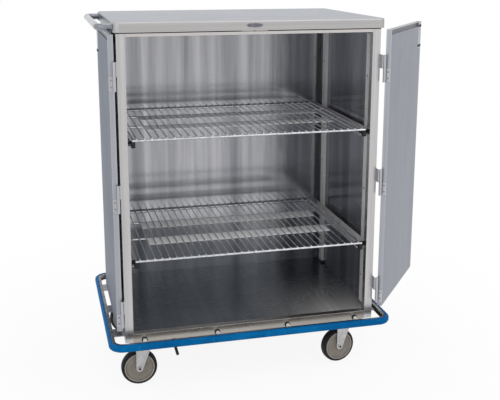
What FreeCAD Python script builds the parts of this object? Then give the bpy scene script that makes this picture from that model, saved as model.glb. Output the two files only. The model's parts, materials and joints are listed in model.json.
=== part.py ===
import FreeCAD, Part
import os
import re

import Sketcher
from FreeCAD import Placement, Rotation, Vector

# Stainless steel case cart: a two-door cabinet on four swivel casters, with pull-out wire shelves,
# a push handle on its left end and a bumper round its base.
# Millimetres and degrees. X runs to the right, Y to the back and Z up. The origin is on the floor
# under the middle of the top cap.

DIMENSIONS = [
    # top cap and cabinet
    ("topWidth", 914, "width of the top cap"),
    ("topDepth", 630, "depth of the top cap"),
    ("fasciaHeight", 32, "height of the top cap's rim"),
    ("topCornerRadius", 22, "corner radius of the top cap in plan"),
    ("topEdgeRadius", 5, "rounding along the top cap's upper edge"),
    ("rimFlange", 34, "width of the top cap's turned-in flange"),
    ("sideOverhang", 9, "top cap past the cabinet's sides"),
    ("frontOverhang", 21, "top cap past the cabinet's front"),
    ("backOverhang", 10, "top cap past the cabinet's back"),
    ("baseHeight", 189, "underside of the cabinet above the floor"),
    ("cabinetHeight", 1055, "cabinet from its underside to the top cap"),
    ("sheetThick", 2, "sheet of the cabinet's panels"),
    ("stileWidth", 28.5, "front stile, seen from the front"),
    ("stileDepth", 25, "front stile, header and sill from front to back"),
    ("headerHeight", 15, "header rail above the opening"),
    ("sillHeight", 30, "sill rail below the opening"),
    ("floorDrop", 4, "floor pan below the sill's upper edge"),
    ("channelWidth", 60, "chassis channel from front to back"),
    ("channelWall", 3, "wall of the chassis channels"),
    ("channelInset", 18, "chassis channel's end from the cabinet's side"),
    # pilasters and shelf runners
    ("pilasterWidth", 30, "pilaster along the side panel"),
    ("pilasterDepth", 12, "pilaster out from the side panel"),
    ("pilasterSheet", 1.5, "sheet of the pilasters and runners"),
    ("pilasterFront", 76, "front pilaster's middle from the cabinet's front"),
    ("pilasterBack", 60, "back pilaster's middle from the cabinet's back"),
    ("pilasterGap", 10, "pilaster's ends from the floor and the ceiling"),
    ("runnerHeight", 20, "web of a shelf runner"),
    ("runnerMargin", 3, "runner's floor past the shelf's side rod"),
    ("runnerFrontGap", 7, "runner's front end behind the stile"),
    ("runnerBackGap", 3, "runner's back end from the back panel"),
    ("runnerPlay", 0.3, "shelf's side rod above the runner and below its stop"),
    ("stopLength", 18, "end stop along the runner"),
    ("stopHeight", 9, "end stop above the side rod"),
    # wire shelves
    ("shelfSideGap", 14.5, "shelf from each stile"),
    ("shelfFrontGap", 4, "shelf's front behind the cabinet's front"),
    ("shelfBackGap", 7, "shelf's back from the back panel"),
    ("upperShelfHeight", 897, "upper shelf's wires above the floor"),
    ("lowerShelfHeight", 482, "lower shelf's wires above the floor"),
    ("wireRadius", 2.5, "deck wire"),
    ("wireCount", 32, "deck wires across a shelf"),
    ("wireMargin", 15, "outermost deck wires from the shelf's sides"),
    ("crossRod", 4, "radius of the rods under the deck wires"),
    ("weldSink", 0.8, "wires and straps sunk into each other at the welds"),
    ("sideRod", 3, "radius of the shelf's side rods"),
    ("legRod", 2.4, "radius of the shelf's legs"),
    ("rodEnd", 1.5, "cross rods past the side rods"),
    ("sideDrop", 25, "lower side rods below the deck wires"),
    ("frontMidRod", 238, "first middle rod from the shelf's front"),
    ("backMidRod", 430, "second middle rod from the shelf's front"),
    ("strapWidth", 74, "flat strap from front to back"),
    ("strapThick", 2, "sheet of the flat straps"),
    ("strapInset", 65, "flat strap's ends from the shelf's sides"),
    # doors
    ("doorThick", 18, "door from its outer to its inner face"),
    ("doorSheet", 1.5, "sheet of the door's pan and liner"),
    ("doorGap", 1.5, "closed door from the cabinet's front"),
    ("doorTopGap", 6, "door below the top cap"),
    ("doorBottomGap", 21, "door above the sill"),
    ("centreGap", 3, "between the two closed doors"),
    ("hingeEdgeGap", 1, "door's hinged edge inside the cabinet's side"),
    ("linerDrop", 18, "liner's upper edge below the door's"),
    ("leftDoorAngle", 270, "left door's opening as it stands"),
    ("rightDoorAngle", 232, "right door's opening as it stands"),
    # hinges
    ("pinOut", 9, "hinge pin out from the cabinet's side"),
    ("pinRadius", 3, "hinge pin"),
    ("pinPlay", 0.03, "hinge pin's radial play in its barrel"),
    ("barrelRadius", 5.5, "hinge barrel"),
    ("hingeLength", 94, "hinge from end to end"),
    ("knucklePlay", 0.3, "between a hinge's two knuckles"),
    ("hingeFromTop", 132, "top hinge's middle below the door's upper edge"),
    ("hingeFromBottom", 63, "bottom hinge's middle above the door's lower edge"),
    ("leafThick", 2.5, "hinge leaf"),
    ("leafReach", 20, "fixed leaf behind the cabinet's front"),
    # latches
    ("latchHeight", 98, "latch case from top to bottom"),
    ("latchWidth", 40, "latch case across the door"),
    ("latchPlateWidth", 34, "plate on the door's outer face"),
    ("latchPlateThick", 2, "sheet of that plate"),
    ("boltRadius", 4, "latch bolt"),
    ("boltPlay", 0.05, "latch bolt's radial play in its guide"),
    ("boltInset", 22, "latch bolt from the door's free edge"),
    ("boltRise", 10, "travel of the latch bolt"),
    ("boltStand", 1, "drawn bolt above the door's upper edge"),
    ("boltLength", 74, "latch bolt from end to end"),
    ("boltGuide", 20, "guide at the top of the latch case"),
    ("neckWidth", 8, "neck between the bolt and its thumb piece"),
    ("neckHeight", 16, "neck from top to bottom"),
    ("neckDrop", 46, "neck's upper edge below the drawn bolt's tip"),
    ("neckPlay", 1, "neck's room in its slot"),
    ("thumbWidth", 24, "thumb piece across the door"),
    ("thumbHeight", 26, "thumb piece from top to bottom"),
    ("thumbOut", 7.5, "thumb piece out from the door's outer face"),
    ("thumbGap", 0.3, "thumb piece off the latch plate"),
    ("keeperGap", 3.5, "keeper's end from the middle of the cart"),
    ("keeperDepth", 16, "keeper from front to back"),
    ("keeperThick", 2, "sheet of the keepers"),
    ("keeperPlay", 0.5, "latch bolt's radial room in its keeper"),
    # bumper
    ("bumperPastSide", 49.5, "bumper past the top cap's sides"),
    ("bumperPastFront", 43, "bumper past the top cap's front and back"),
    ("bumperRise", 7, "bumper's middle above the cabinet's underside"),
    ("bumperCorner", 50, "bumper's outer corner radius in plan"),
    ("stripThick", 12.5, "vinyl strip out from its rail"),
    ("stripHeight", 25.4, "vinyl strip from top to bottom"),
    ("stripRound", 10, "rounding of the vinyl strip"),
    ("railThick", 10, "bumper rail from its web to its open side"),
    ("railHeight", 22, "bumper rail from top to bottom"),
    ("railSheet", 2, "sheet of the bumper rail"),
    ("standoffRadius", 7, "bumper standoff"),
    ("standoffInset", 65.5, "end standoffs from the cabinet's sides"),
    ("bracketWidth", 60, "side bracket along the cabinet"),
    ("bracketInset", 98, "end brackets behind the top cap's front"),
    ("bracketThick", 4, "side bracket's shelf"),
    ("bracketTab", 22, "side bracket's tab above its shelf"),
    # push handle
    ("handleRadius", 11, "push handle's tube"),
    ("handleOut", 45, "push handle's middle from the top cap's side"),
    ("handleFront", 40, "front leg behind the top cap's front"),
    ("handleBack", 60, "back leg ahead of the top cap's back"),
    ("handleBend", 28, "push handle's bend radius"),
    ("flangeRadius", 15, "push handle's flange"),
    ("flangeThick", 4, "push handle's flange out from the top cap"),
    # casters
    ("casterInsetSide", 87, "swivel axis from the top cap's side"),
    ("casterInsetFront", 95, "swivel axis from the top cap's front or back"),
    ("casterHeight", 160, "caster from the floor to its plate's upper face"),
    ("frontRightYaw", 9, "turn of the front right caster as it stands"),
    ("plateLength", 90, "caster plate across"),
    ("plateWidth", 58, "caster plate from front to back"),
    ("plateThick", 4, "caster plate"),
    ("bossRadius", 24, "raceway under the caster plate"),
    ("bossHeight", 9, "raceway from top to bottom"),
    ("swivelPlay", 0.3, "above and below the fork's crown"),
    ("kingpinRadius", 6, "kingpin's shank"),
    ("kingpinPlay", 0.05, "kingpin's radial play"),
    ("kingpinHead", 10, "radius of the kingpin's head"),
    ("kingpinHeadThick", 5, "kingpin's head from top to bottom"),
    ("plateBoltAcross", 72, "caster plate bolts, hole to hole across"),
    ("plateBoltDeep", 42, "caster plate bolts, hole to hole front to back"),
    ("plateBoltRadius", 4, "caster plate bolt"),
    ("plateBoltPlay", 0.1, "caster plate bolt's radial play"),
    ("plateBoltHead", 7, "corner radius of a caster plate bolt's head"),
    ("plateBoltHeadThick", 5, "caster plate bolt's head"),
    ("crownThick", 9.7, "fork's crown"),
    ("forkBack", 37, "fork's crown behind the swivel axis"),
    ("forkFront", 18, "fork's crown ahead of the swivel axis"),
    ("forkGap", 36, "between the fork's legs"),
    ("forkSheet", 3.5, "fork's leg"),
    ("legRadius", 12, "fork's leg round the axle"),
    ("trail", 26, "axle behind the swivel axis"),
    ("wheelRadius", 63.5, "wheel with its tyre"),
    ("wheelWidth", 32, "tyre across"),
    ("tyreThick", 10.5, "tyre's wall"),
    ("tyreRound", 8, "rounding of the tyre's shoulders"),
    ("rimThick", 8, "wheel's rim"),
    ("webThick", 20, "wheel's disc"),
    ("hubRadius", 16, "wheel's hub"),
    ("hubPlay", 0.5, "hub from each of the fork's legs"),
    ("axleRadius", 5, "axle"),
    ("axlePlay", 0.05, "axle's radial play"),
    ("nutRadius", 9, "corner radius of the axle's head and nut"),
    ("nutThick", 5, "axle's head and nut"),
    # drain
    ("drainSide", 275, "drain to the left of the middle"),
    ("drainBehind", 9.5, "drain behind the sill"),
    ("drainFlange", 8.5, "radius of the drain's flange"),
    ("drainFlangeThick", 2, "drain's flange under the floor pan"),
    ("nippleRadius", 3.6, "drain's nipple"),
    ("nippleBore", 2.4, "bore of the drain's nipple"),
    ("nippleLength", 30, "drain's nipple below its flange"),
    ("spoutRadius", 5.2, "rubber spout"),
    ("spoutPlay", 0.05, "spout's radial room on the nipple"),
    ("spoutLength", 58, "straight upper part of the spout"),
    ("spoutTip", 44, "slanted lower part of the spout"),
    ("spoutSlant", 15, "slant of the spout's lower part"),
]

doc = FreeCAD.newDocument("CaseCart")
sheet = doc.addObject("Spreadsheet::Sheet", "Sizes")
for row, (alias, number, meaning) in enumerate(DIMENSIONS, start=1):
    sheet.set(f"A{row}", meaning)
    sheet.set(f"B{row}", str(number))
    sheet.setAlias(f"B{row}", alias)
doc.recompute()

ALIAS_WORDS = re.compile(r"\b(" + "|".join(alias for alias, _, _ in DIMENSIONS) + r")\b")
UP = Vector(0, 0, 1)
DOWN = Vector(0, 0, -1)
ALONG = {"x": Rotation(Vector(0, 1, 0), 90), "y": Rotation(Vector(-1, 0, 0), 90), "z": Rotation()}
SIDES = (("left", -1), ("right", 1))

sub_parts = []


# Expressions and placing

def expression(text):
    return ALIAS_WORDS.sub(r"Sizes.\1", str(text))


def number_of(text):
    return float(sheet.evalExpression(expression(text)))


def bind(obj, settings):
    for name, text in settings.items():
        obj.setExpression(name, expression(text))
    return obj


def place(obj, x=0, y=0, z=0):
    return bind(obj, {"Placement.Base.x": x, "Placement.Base.y": y, "Placement.Base.z": z})


def turn(obj, axis, angle):
    obj.Placement = Placement(Vector(), Rotation(axis, 1))
    return bind(obj, {"Placement.Rotation.Angle": angle})


def sub_part(label, obj):
    obj.Label = label
    sub_parts.append(obj)
    return obj


# Part primitives and booleans. A span is a pair of expressions, low and high.

def span(sign, low, high):
    return (low, high) if sign > 0 else (f"-({high})", f"-({low})")


def about(middle, width):
    return f"({middle}) - ({width}) / 2", f"({middle}) + ({width}) / 2"


def box(name, x, y, z):
    obj = doc.addObject("Part::Box", name)
    for side, (low, high) in zip(("Length", "Width", "Height"), (x, y, z)):
        bind(obj, {side: f"({high}) - ({low})"})
    return place(obj, x[0], y[0], z[0])


def rod(name, radius, axis, start, length):
    obj = doc.addObject("Part::Cylinder", name)
    obj.Placement = Placement(Vector(), ALONG[axis])
    bind(obj, {"Radius": radius, "Height": length})
    return place(obj, *start)


def hexagon(name, radius, axis, start, length):
    obj = doc.addObject("Part::Prism", name)
    obj.Polygon = 6
    obj.Placement = Placement(Vector(), ALONG[axis])
    bind(obj, {"Circumradius": radius, "Height": length})
    return place(obj, *start)


def fuse(name, *shapes):
    obj = doc.addObject("Part::MultiFuse", name)
    obj.Shapes = list(shapes)
    return obj


def cut(name, base, *tools):
    obj = doc.addObject("Part::Cut", name)
    obj.Base = base
    obj.Tool = tools[0] if len(tools) == 1 else fuse(name + "Tools", *tools)
    return obj


def group(name, shapes):
    obj = doc.addObject("Part::Compound", name)
    obj.Links = list(shapes)
    return obj


# PartDesign bodies

def new_sketch(body, role):
    sketch = body.newObject("Sketcher::SketchObject", body.Name + "Sketch")
    plane = next(item for item in body.Origin.OriginFeatures if item.Role == role)
    sketch.AttachmentSupport = [(plane, "")]
    sketch.MapMode = "FlatFace"
    return sketch


def fix_point(sketch, geometry, point, across, up):
    for kind, text in (("DistanceX", across), ("DistanceY", up)):
        constraint = Sketcher.Constraint(kind, -1, 1, geometry, point, number_of(text))
        index = sketch.addConstraint(constraint)
        sketch.setExpression(f"Constraints[{index}]", expression(text))


def outline(body, role, points):
    sketch = new_sketch(body, role)
    corners = [Vector(number_of(across), number_of(up), 0) for across, up in points]
    following = corners[1:] + corners[:1]
    for start, end in zip(corners, following):
        sketch.addGeometry(Part.LineSegment(start, end), False)
    for index in range(len(points)):
        after = (index + 1) % len(points)
        sketch.addConstraint(Sketcher.Constraint("Coincident", index, 2, after, 1))
    for index, (across, up) in enumerate(points):
        fix_point(sketch, index, 1, across, up)
    return sketch


def circles(body, role, radius, middles):
    sketch = new_sketch(body, role)
    for index, (across, up) in enumerate(middles):
        middle = Vector(number_of(across), number_of(up), 0)
        sketch.addGeometry(Part.Circle(middle, UP, number_of(radius)), False)
        fix_point(sketch, index, 3, across, up)
        rule = sketch.addConstraint(Sketcher.Constraint("Radius", index, number_of(radius)))
        sketch.setExpression(f"Constraints[{rule}]", expression(radius))
    return sketch


def pad(body, sketch, length, side_type="One side", backwards=False):
    feature = body.newObject("PartDesign::Pad", body.Name + "Pad")
    feature.Profile = sketch
    feature.SideType = side_type
    feature.Reversed = backwards
    bind(feature, {"Length": length})
    doc.recompute()
    return feature


def round_edges(body, base, radius, chosen):
    names = [f"Edge{n}" for n, edge in enumerate(base.Shape.Edges, start=1) if chosen(edge)]
    feature = body.newObject("PartDesign::Fillet", body.Name + "Fillet")
    feature.Base = (base, names)
    bind(feature, {"Radius": radius})
    doc.recompute()
    return feature


def is_upright(edge):
    ends = edge.Vertexes
    return len(ends) == 2 and abs(ends[0].Z - ends[1].Z) > 1e-6


def is_top(edge):
    return edge.BoundBox.ZMin > 1e-6 and is_level(edge)


def is_level(edge):
    return edge.BoundBox.ZLength < 1e-6


def rounded_box(name, width, depth, low, height, corner, edge_radius=None, edges=is_level):
    body = doc.addObject("PartDesign::Body", name)
    left, right = about(0, width)
    near, far = about(0, depth)
    corners = [(left, near), (right, near), (right, far), (left, far)]
    slab = pad(body, outline(body, "XY_Plane", corners), height)
    rounded = round_edges(body, slab, corner, is_upright)
    if edge_radius:
        round_edges(body, rounded, edge_radius, edges)
    return place(body, 0, 0, low)


def turned(name, points, edge_radius=None, edges=None):
    body = doc.addObject("PartDesign::Body", name)
    feature = body.newObject("PartDesign::Revolution", name + "Revolution")
    sketch = outline(body, "XY_Plane", points)
    feature.Profile = sketch
    feature.ReferenceAxis = (sketch, ["V_Axis"])
    feature.Angle = 360
    body.Tip = feature
    doc.recompute()
    if edge_radius:
        round_edges(body, feature, edge_radius, edges)
    return body


# Places that several pieces share

side = "(topWidth / 2 - sideOverhang)"
front = "(frontOverhang - topDepth / 2)"
back = "(topDepth / 2 - backOverhang)"
cap_low = "(baseHeight + cabinetHeight)"
inner_side = f"({side} - sheetThick)"
inner_back = f"({back} - sheetThick)"
open_half = f"({side} - stileWidth)"
frame_back = f"({front} + stileDepth)"
sill_top = "(baseHeight + sillHeight)"
floor_top = f"({sill_top} - floorDrop)"
floor_under = f"({floor_top} - sheetThick)"
ceiling = f"({cap_low} - headerHeight)"

caster_side = "(topWidth / 2 - casterInsetSide)"
caster_front = "(topDepth / 2 - casterInsetFront)"
pilaster_face = f"({inner_side} - pilasterDepth)"
shelf_front = f"({front} + shelfFrontGap)"
shelf_depth = f"({inner_back} - shelfBackGap - {shelf_front})"
shelf_width = f"(2 * ({open_half} - shelfSideGap))"
shelf_middle = f"({shelf_front} + {shelf_depth} / 2)"
wire_span = f"({shelf_width} - 2 * wireMargin)"
rod_level = "(crossRod + wireRadius - weldSink)"
side_rod_middle = f"({shelf_width} / 2 - rodEnd - sideRod)"

door_outer = f"({front} - doorGap - doorThick)"
door_high = f"({cap_low} - doorTopGap)"
door_low = f"({sill_top} + doorBottomGap)"
pin_side = f"({side} + pinOut)"
pin_front = door_outer
door_edge = "(pinOut + hingeEdgeGap)"
door_end = f"({pin_side} - centreGap / 2)"
hinge_levels = (
    f"({door_low} + hingeFromBottom)",
    f"({door_low} + hingeFromBottom + {door_high} - hingeFromTop) / 2",
    f"({door_high} - hingeFromTop)",
)

bolt_across = f"({door_end} - boltInset)"
bolt_deep = "(doorThick / 2)"
bolt_tip = f"({door_high} + boltStand)"
keeper_side = f"({pin_side} - {bolt_across})"
keeper_deep = f"({pin_front} + {bolt_deep})"
case_high = f"({door_high} - doorSheet)"
case_low = f"({case_high} - latchHeight)"
neck_high = f"({bolt_tip} - neckDrop)"
neck_low = f"({neck_high} - neckHeight)"

bumper_side = "(topWidth / 2 + bumperPastSide)"
bumper_front = "(topDepth / 2 + bumperPastFront)"
bumper_level = "(baseHeight + bumperRise)"
rail_web_side = f"({bumper_side} - stripThick - railSheet)"
rail_web_front = f"({bumper_front} - stripThick - railSheet)"
crown_high = "(casterHeight - plateThick - bossHeight - swivelPlay)"
crown_low = f"({crown_high} - crownThick)"


# Cabinet

def build_top_cap():
    shell = rounded_box(
        "capShell", "topWidth", "topDepth", cap_low, "fasciaHeight",
        "topCornerRadius", "topEdgeRadius", is_top,
    )
    hollow = rounded_box(
        "capHollow", "topWidth - 2 * sheetThick", "topDepth - 2 * sheetThick",
        f"{cap_low} + sheetThick", "fasciaHeight - 2 * sheetThick", "topCornerRadius - sheetThick",
    )
    mouth = box(
        "capMouth", about(0, "topWidth - 2 * rimFlange"), about(0, "topDepth - 2 * rimFlange"),
        (cap_low, f"{cap_low} + sheetThick"),
    )
    bolt_holes = []
    for name, sign in SIDES:
        start = (f"{sign} * {keeper_side}", keeper_deep, cap_low)
        bolt_holes.append(rod(name + "CapHole", "boltRadius + keeperPlay", "z", start, "sheetThick"))
    sub_part("top_cap", cut("topCap", shell, hollow, mouth, *bolt_holes))


def build_keepers():
    keepers = []
    low = f"{cap_low} - keeperThick"
    length = f"2 * ({keeper_side} - keeperGap)"
    for name, sign in SIDES:
        x = f"{sign} * {keeper_side}"
        plate = box(name + "KeeperPlate", about(x, length), about(keeper_deep, "keeperDepth"), (low, cap_low))
        hole = rod(name + "KeeperHole", "boltRadius + keeperPlay", "z", (x, keeper_deep, low), "keeperThick")
        keepers.append(cut(name + "Keeper", plate, hole))
    sub_part("latch_keepers", group("latchKeepers", keepers))


def build_panels():
    upright = ("baseHeight", cap_low)
    for name, sign in SIDES:
        x = span(sign, inner_side, side)
        sub_part(f"side_panel_{name}", box(name + "Panel", x, (frame_back, back), upright))
    across = (f"-{inner_side}", inner_side)
    deep = (frame_back, inner_back)
    sub_part("back_panel", box("backPanel", across, (inner_back, back), upright))
    sub_part("ceiling_panel", box("ceilingPanel", across, deep, (ceiling, f"{ceiling} + sheetThick")))
    pan = box("floorSheet", across, deep, (floor_under, floor_top))
    hole = rod("floorDrainHole", "nippleBore", "z", (*drain_middle(), floor_under), "sheetThick")
    sub_part("floor_pan", cut("floorPan", pan, hole))


def hollow_bar(name, x, y, z, wall, open_axis):
    spans = dict(zip("xyz", (x, y, z)))
    inner = {
        axis: ends if axis == open_axis else (f"{ends[0]} + {wall}", f"{ends[1]} - {wall}")
        for axis, ends in spans.items()
    }
    return cut(name, box(name + "Bar", x, y, z), box(name + "Hollow", inner["x"], inner["y"], inner["z"]))


def build_front_frame():
    deep = (front, frame_back)
    across = (f"-{open_half}", open_half)
    for name, sign in SIDES:
        stile = hollow_bar(
            name + "Stile", span(sign, open_half, side), deep, ("baseHeight", cap_low), "sheetThick", "z"
        )
        sub_part(f"stile_{name}", stile)
    sub_part("header_rail", hollow_bar("headerRail", across, deep, (ceiling, cap_low), "sheetThick", "x"))
    sub_part("sill_rail", hollow_bar("sillRail", across, deep, ("baseHeight", sill_top), "sheetThick", "x"))


def build_chassis():
    across = (f"channelInset - {side}", f"{side} - channelInset")
    upright = ("casterHeight", floor_under)
    channels = [
        hollow_bar(name, across, about(middle, "channelWidth"), upright, "channelWall", "x")
        for name, middle in (("frontChannel", f"-{caster_front}"), ("backChannel", caster_front))
    ]
    sub_part("chassis_channels", group("chassisChannels", channels))


def build_pilasters():
    pilasters = []
    upright = (f"{floor_top} + pilasterGap", f"{ceiling} - pilasterGap")
    for name, sign in SIDES:
        for middle in (f"{front} + pilasterFront", f"{back} - pilasterBack"):
            outside = span(sign, pilaster_face, inner_side)
            bar = box(name + "PilasterBar", outside, about(middle, "pilasterWidth"), upright)
            inside = span(sign, f"{pilaster_face} + pilasterSheet", inner_side)
            inside_deep = about(middle, "pilasterWidth - 2 * pilasterSheet")
            hollow = box(name + "PilasterHollow", inside, inside_deep, upright)
            pilasters.append(cut(name + "Pilaster", bar, hollow))
    sub_part("pilasters", group("pilasterGroup", pilasters))


def build_runners():
    deep = (f"{frame_back} + runnerFrontGap", f"{inner_back} - runnerBackGap")
    stop_deep = (deep[0], f"{deep[0]} + stopLength")
    floor_edge = f"({side_rod_middle} - sideRod - runnerMargin)"
    web_face = f"({pilaster_face} - pilasterSheet)"
    stops = []
    for shelf, level in (("upper", "upperShelfHeight"), ("lower", "lowerShelfHeight")):
        runners = []
        top = f"({level} - sideDrop - sideRod - runnerPlay)"
        low = f"({top} - pilasterSheet)"
        web_upright = (low, f"{low} + runnerHeight")
        stop_low = f"({level} - sideDrop + sideRod + runnerPlay)"
        stop_upright = (stop_low, f"{stop_low} + stopHeight")
        for name, sign in SIDES:
            label = shelf + name.capitalize()
            floor = box(label + "RunnerFloor", span(sign, floor_edge, pilaster_face), deep, (low, top))
            web = box(label + "RunnerWeb", span(sign, web_face, pilaster_face), deep, web_upright)
            runners.append(fuse(label + "Runner", floor, web))
            stops.append(box(label + "Stop", span(sign, floor_edge, web_face), stop_deep, stop_upright))
        sub_part(f"{shelf}_runners", group(shelf + "Runners", runners))
    sub_part("runner_stops", group("runnerStops", stops))


# Wire shelves: one welded deck, placed twice

def build_shelves():
    body = doc.addObject("PartDesign::Body", "upperDeck")
    body.AllowCompound = True
    front_rod = f"(crossRod - {shelf_depth} / 2)"
    back_rod = f"({shelf_depth} / 2 - crossRod)"
    middle_rods = [f"({setback} - {shelf_depth} / 2)" for setback in ("frontMidRod", "backMidRod")]
    rods = [(deep, f"-{rod_level}") for deep in (front_rod, back_rod, *middle_rods)]
    pad(body, circles(body, "YZ_Plane", "crossRod", rods), shelf_width, "Symmetric")
    wire_sketch = circles(body, "XZ_Plane", "wireRadius", [(f"-{wire_span} / 2", 0)])
    wire = pad(body, wire_sketch, f"{shelf_depth} - crossRod / 2", "Symmetric")
    wires = body.newObject("PartDesign::LinearPattern", "deckWires")
    wires.Originals = [wire]
    wires.Direction = (wire_sketch, ["H_Axis"])
    bind(wires, {"Length": wire_span, "Occurrences": "wireCount"})
    body.Tip = wires
    doc.recompute()
    strap_high = "(weldSink - wireRadius)"
    for rod_middle in middle_rods:
        near, far = f"({rod_middle} - crossRod - strapWidth)", f"({rod_middle} - crossRod)"
        strap_low = f"({strap_high} - strapThick)"
        corners = [(near, strap_low), (far, strap_low), (far, strap_high), (near, strap_high)]
        pad(body, outline(body, "YZ_Plane", corners), f"{shelf_width} - 2 * strapInset", "Symmetric")
    leg_span = f"({back_rod} - {front_rod})"
    for level, length in ((rod_level, leg_span), ("sideDrop", f"{leg_span} + 2 * sideRod")):
        edges = [(f"{sign} * {side_rod_middle}", f"-{level}") for sign in (-1, 1)]
        pad(body, circles(body, "XZ_Plane", "sideRod", edges), length, "Symmetric")
    legs = [(f"{sign} * {side_rod_middle}", deep) for sign in (-1, 1) for deep in (front_rod, back_rod)]
    pad(body, circles(body, "XY_Plane", "legRod", legs), "sideDrop", "One side", True)
    sub_part("upper_shelf", place(body, 0, shelf_middle, "upperShelfHeight"))
    lower = place(group("lowerDeck", [body]), 0, 0, "lowerShelfHeight - upperShelfHeight")
    sub_part("lower_shelf", lower)


# Doors. Each is built closed about its hinge pin, then turned to where it stands.

def build_door(name, sign):
    def stand(label, obj):
        turn(obj, UP if sign < 0 else DOWN, f"360 - {name}DoorAngle")
        return sub_part(label, place(obj, f"{sign} * {pin_side}", pin_front, 0))

    def across(low, high):
        return span(-sign, low, high)

    def across_about(width):
        return across(*about(bolt_across, width))

    bolt_spot = (f"{-sign} * {bolt_across}", bolt_deep)
    bolt_hole = "boltRadius + boltPlay"
    slot_high = (f"{neck_low} - neckPlay", f"{neck_high} + boltRise + neckPlay")
    slot_wide = "neckWidth + 2 * neckPlay"

    shell = box(name + "DoorShell", across(door_edge, door_end), (0, "doorThick"), (door_low, door_high))
    inside = across(f"{door_edge} + doorSheet", f"{door_end} - doorSheet")
    hollow = box(
        name + "DoorHollow", inside, ("doorSheet", "doorThick"), (f"{door_low} + doorSheet", case_high)
    )
    pan_slot = box(name + "DoorSlot", across_about(slot_wide), (0, "doorSheet"), slot_high)
    pan_hole = rod(name + "DoorBoltHole", bolt_hole, "z", (*bolt_spot, case_high), "doorSheet")
    stand(f"{name}_door_pan", cut(name + "DoorPan", shell, hollow, pan_slot, pan_hole))

    case_wide = across(f"{door_end} - doorSheet - latchWidth", f"{door_end} - doorSheet")
    liner_high = f"{door_high} - linerDrop"
    liner_deep = ("doorThick - doorSheet", "doorThick")
    liner = box(name + "LinerSheet", inside, liner_deep, (f"{door_low} + doorSheet", liner_high))
    notch = box(name + "LinerNotch", case_wide, liner_deep, (case_low, liner_high))
    stand(f"{name}_door_liner", cut(name + "DoorLiner", liner, notch))

    case = box(name + "CaseBlock", case_wide, ("doorSheet", "doorThick"), (case_low, case_high))
    room_high = f"({case_high} - boltGuide)"
    room_deep = ("doorSheet", f"{bolt_deep} + boltRadius + neckPlay")
    bolt_low = f"({bolt_tip} - boltLength)"
    room = box(name + "CaseRoom", across_about(slot_wide), room_deep, (f"{bolt_low} - neckPlay", room_high))
    guide = rod(name + "CaseGuide", bolt_hole, "z", (*bolt_spot, room_high), "boltGuide")
    stand(f"{name}_latch_case", cut(name + "LatchCase", case, room, guide))

    plate_deep = ("-latchPlateThick", 0)
    plate = box(name + "PlateSheet", across_about("latchPlateWidth"), plate_deep, (case_low, case_high))
    plate_slot = box(name + "PlateSlot", across_about(slot_wide), plate_deep, slot_high)
    stand(f"{name}_latch_plate", cut(name + "LatchPlate", plate, plate_slot))

    bolt = rod(name + "BoltRod", "boltRadius", "z", (*bolt_spot, bolt_low), "boltLength")
    neck = box(name + "BoltNeck", across_about("neckWidth"), ("-thumbOut", bolt_deep), (neck_low, neck_high))
    thumb = box(
        name + "BoltThumb", across_about("thumbWidth"), ("-thumbOut", "-latchPlateThick - thumbGap"),
        about(f"({neck_low} + {neck_high}) / 2", "thumbHeight"),
    )
    stand(f"{name}_latch_bolt", fuse(name + "LatchBolt", bolt, neck, thumb))

    leaves = []
    knuckle = "(hingeLength - knucklePlay) / 2"
    for level in hinge_levels:
        low = f"({level} - hingeLength / 2)"
        upright = (low, f"{low} + {knuckle}")
        barrel = rod(name + "DoorBarrel", "barrelRadius", "z", (0, 0, low), knuckle)
        bridge = box(name + "DoorBridge", across(0, door_edge), (0, "leafThick"), upright)
        flat_wide = across(f"{door_edge} - leafThick", door_edge)
        flat = box(name + "DoorLeafFlat", flat_wide, (0, "doorThick"), upright)
        bore = rod(name + "DoorBore", "pinRadius + pinPlay", "z", (0, 0, low), knuckle)
        leaves.append(cut(name + "DoorLeaf", fuse(name + "DoorLeafBody", barrel, bridge, flat), bore))
    stand(f"{name}_hinge_leaves", group(name + "HingeLeaves", leaves))


def build_fixed_hinges():
    leaves, pins = [], []
    knuckle = "(hingeLength - knucklePlay) / 2"
    for name, sign in SIDES:
        for level in hinge_levels:
            low = f"({level} + knucklePlay / 2)"
            upright = (low, f"{low} + {knuckle}")
            spot = (f"{sign} * {pin_side}", pin_front)
            barrel = rod(name + "FixedBarrel", "barrelRadius", "z", (*spot, low), knuckle)
            bridge_deep = (pin_front, f"{pin_front} + leafThick")
            bridge = box(name + "FixedBridge", span(sign, side, pin_side), bridge_deep, upright)
            leaf_deep = (pin_front, f"{front} + leafReach")
            flat = box(name + "FixedFlat", span(sign, side, f"{side} + leafThick"), leaf_deep, upright)
            bore = rod(name + "FixedBore", "pinRadius + pinPlay", "z", (*spot, low), knuckle)
            leaves.append(cut(name + "FixedLeaf", fuse(name + "FixedLeafBody", barrel, bridge, flat), bore))
            pin_low = f"({level} - hingeLength / 2)"
            pins.append(rod(name + "HingePin", "pinRadius", "z", (*spot, pin_low), "hingeLength"))
    sub_part("fixed_hinge_leaves", group("fixedHingeLeaves", leaves))
    sub_part("hinge_pins", group("hingePins", pins))


# Bumper

def bumper_ring(name, inset, height, corner_inset, edge_radius=None):
    return rounded_box(
        name, f"2 * ({bumper_side} - ({inset}))", f"2 * ({bumper_front} - ({inset}))",
        f"{bumper_level} - ({height}) / 2", height, f"bumperCorner - ({corner_inset})", edge_radius,
    )


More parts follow.
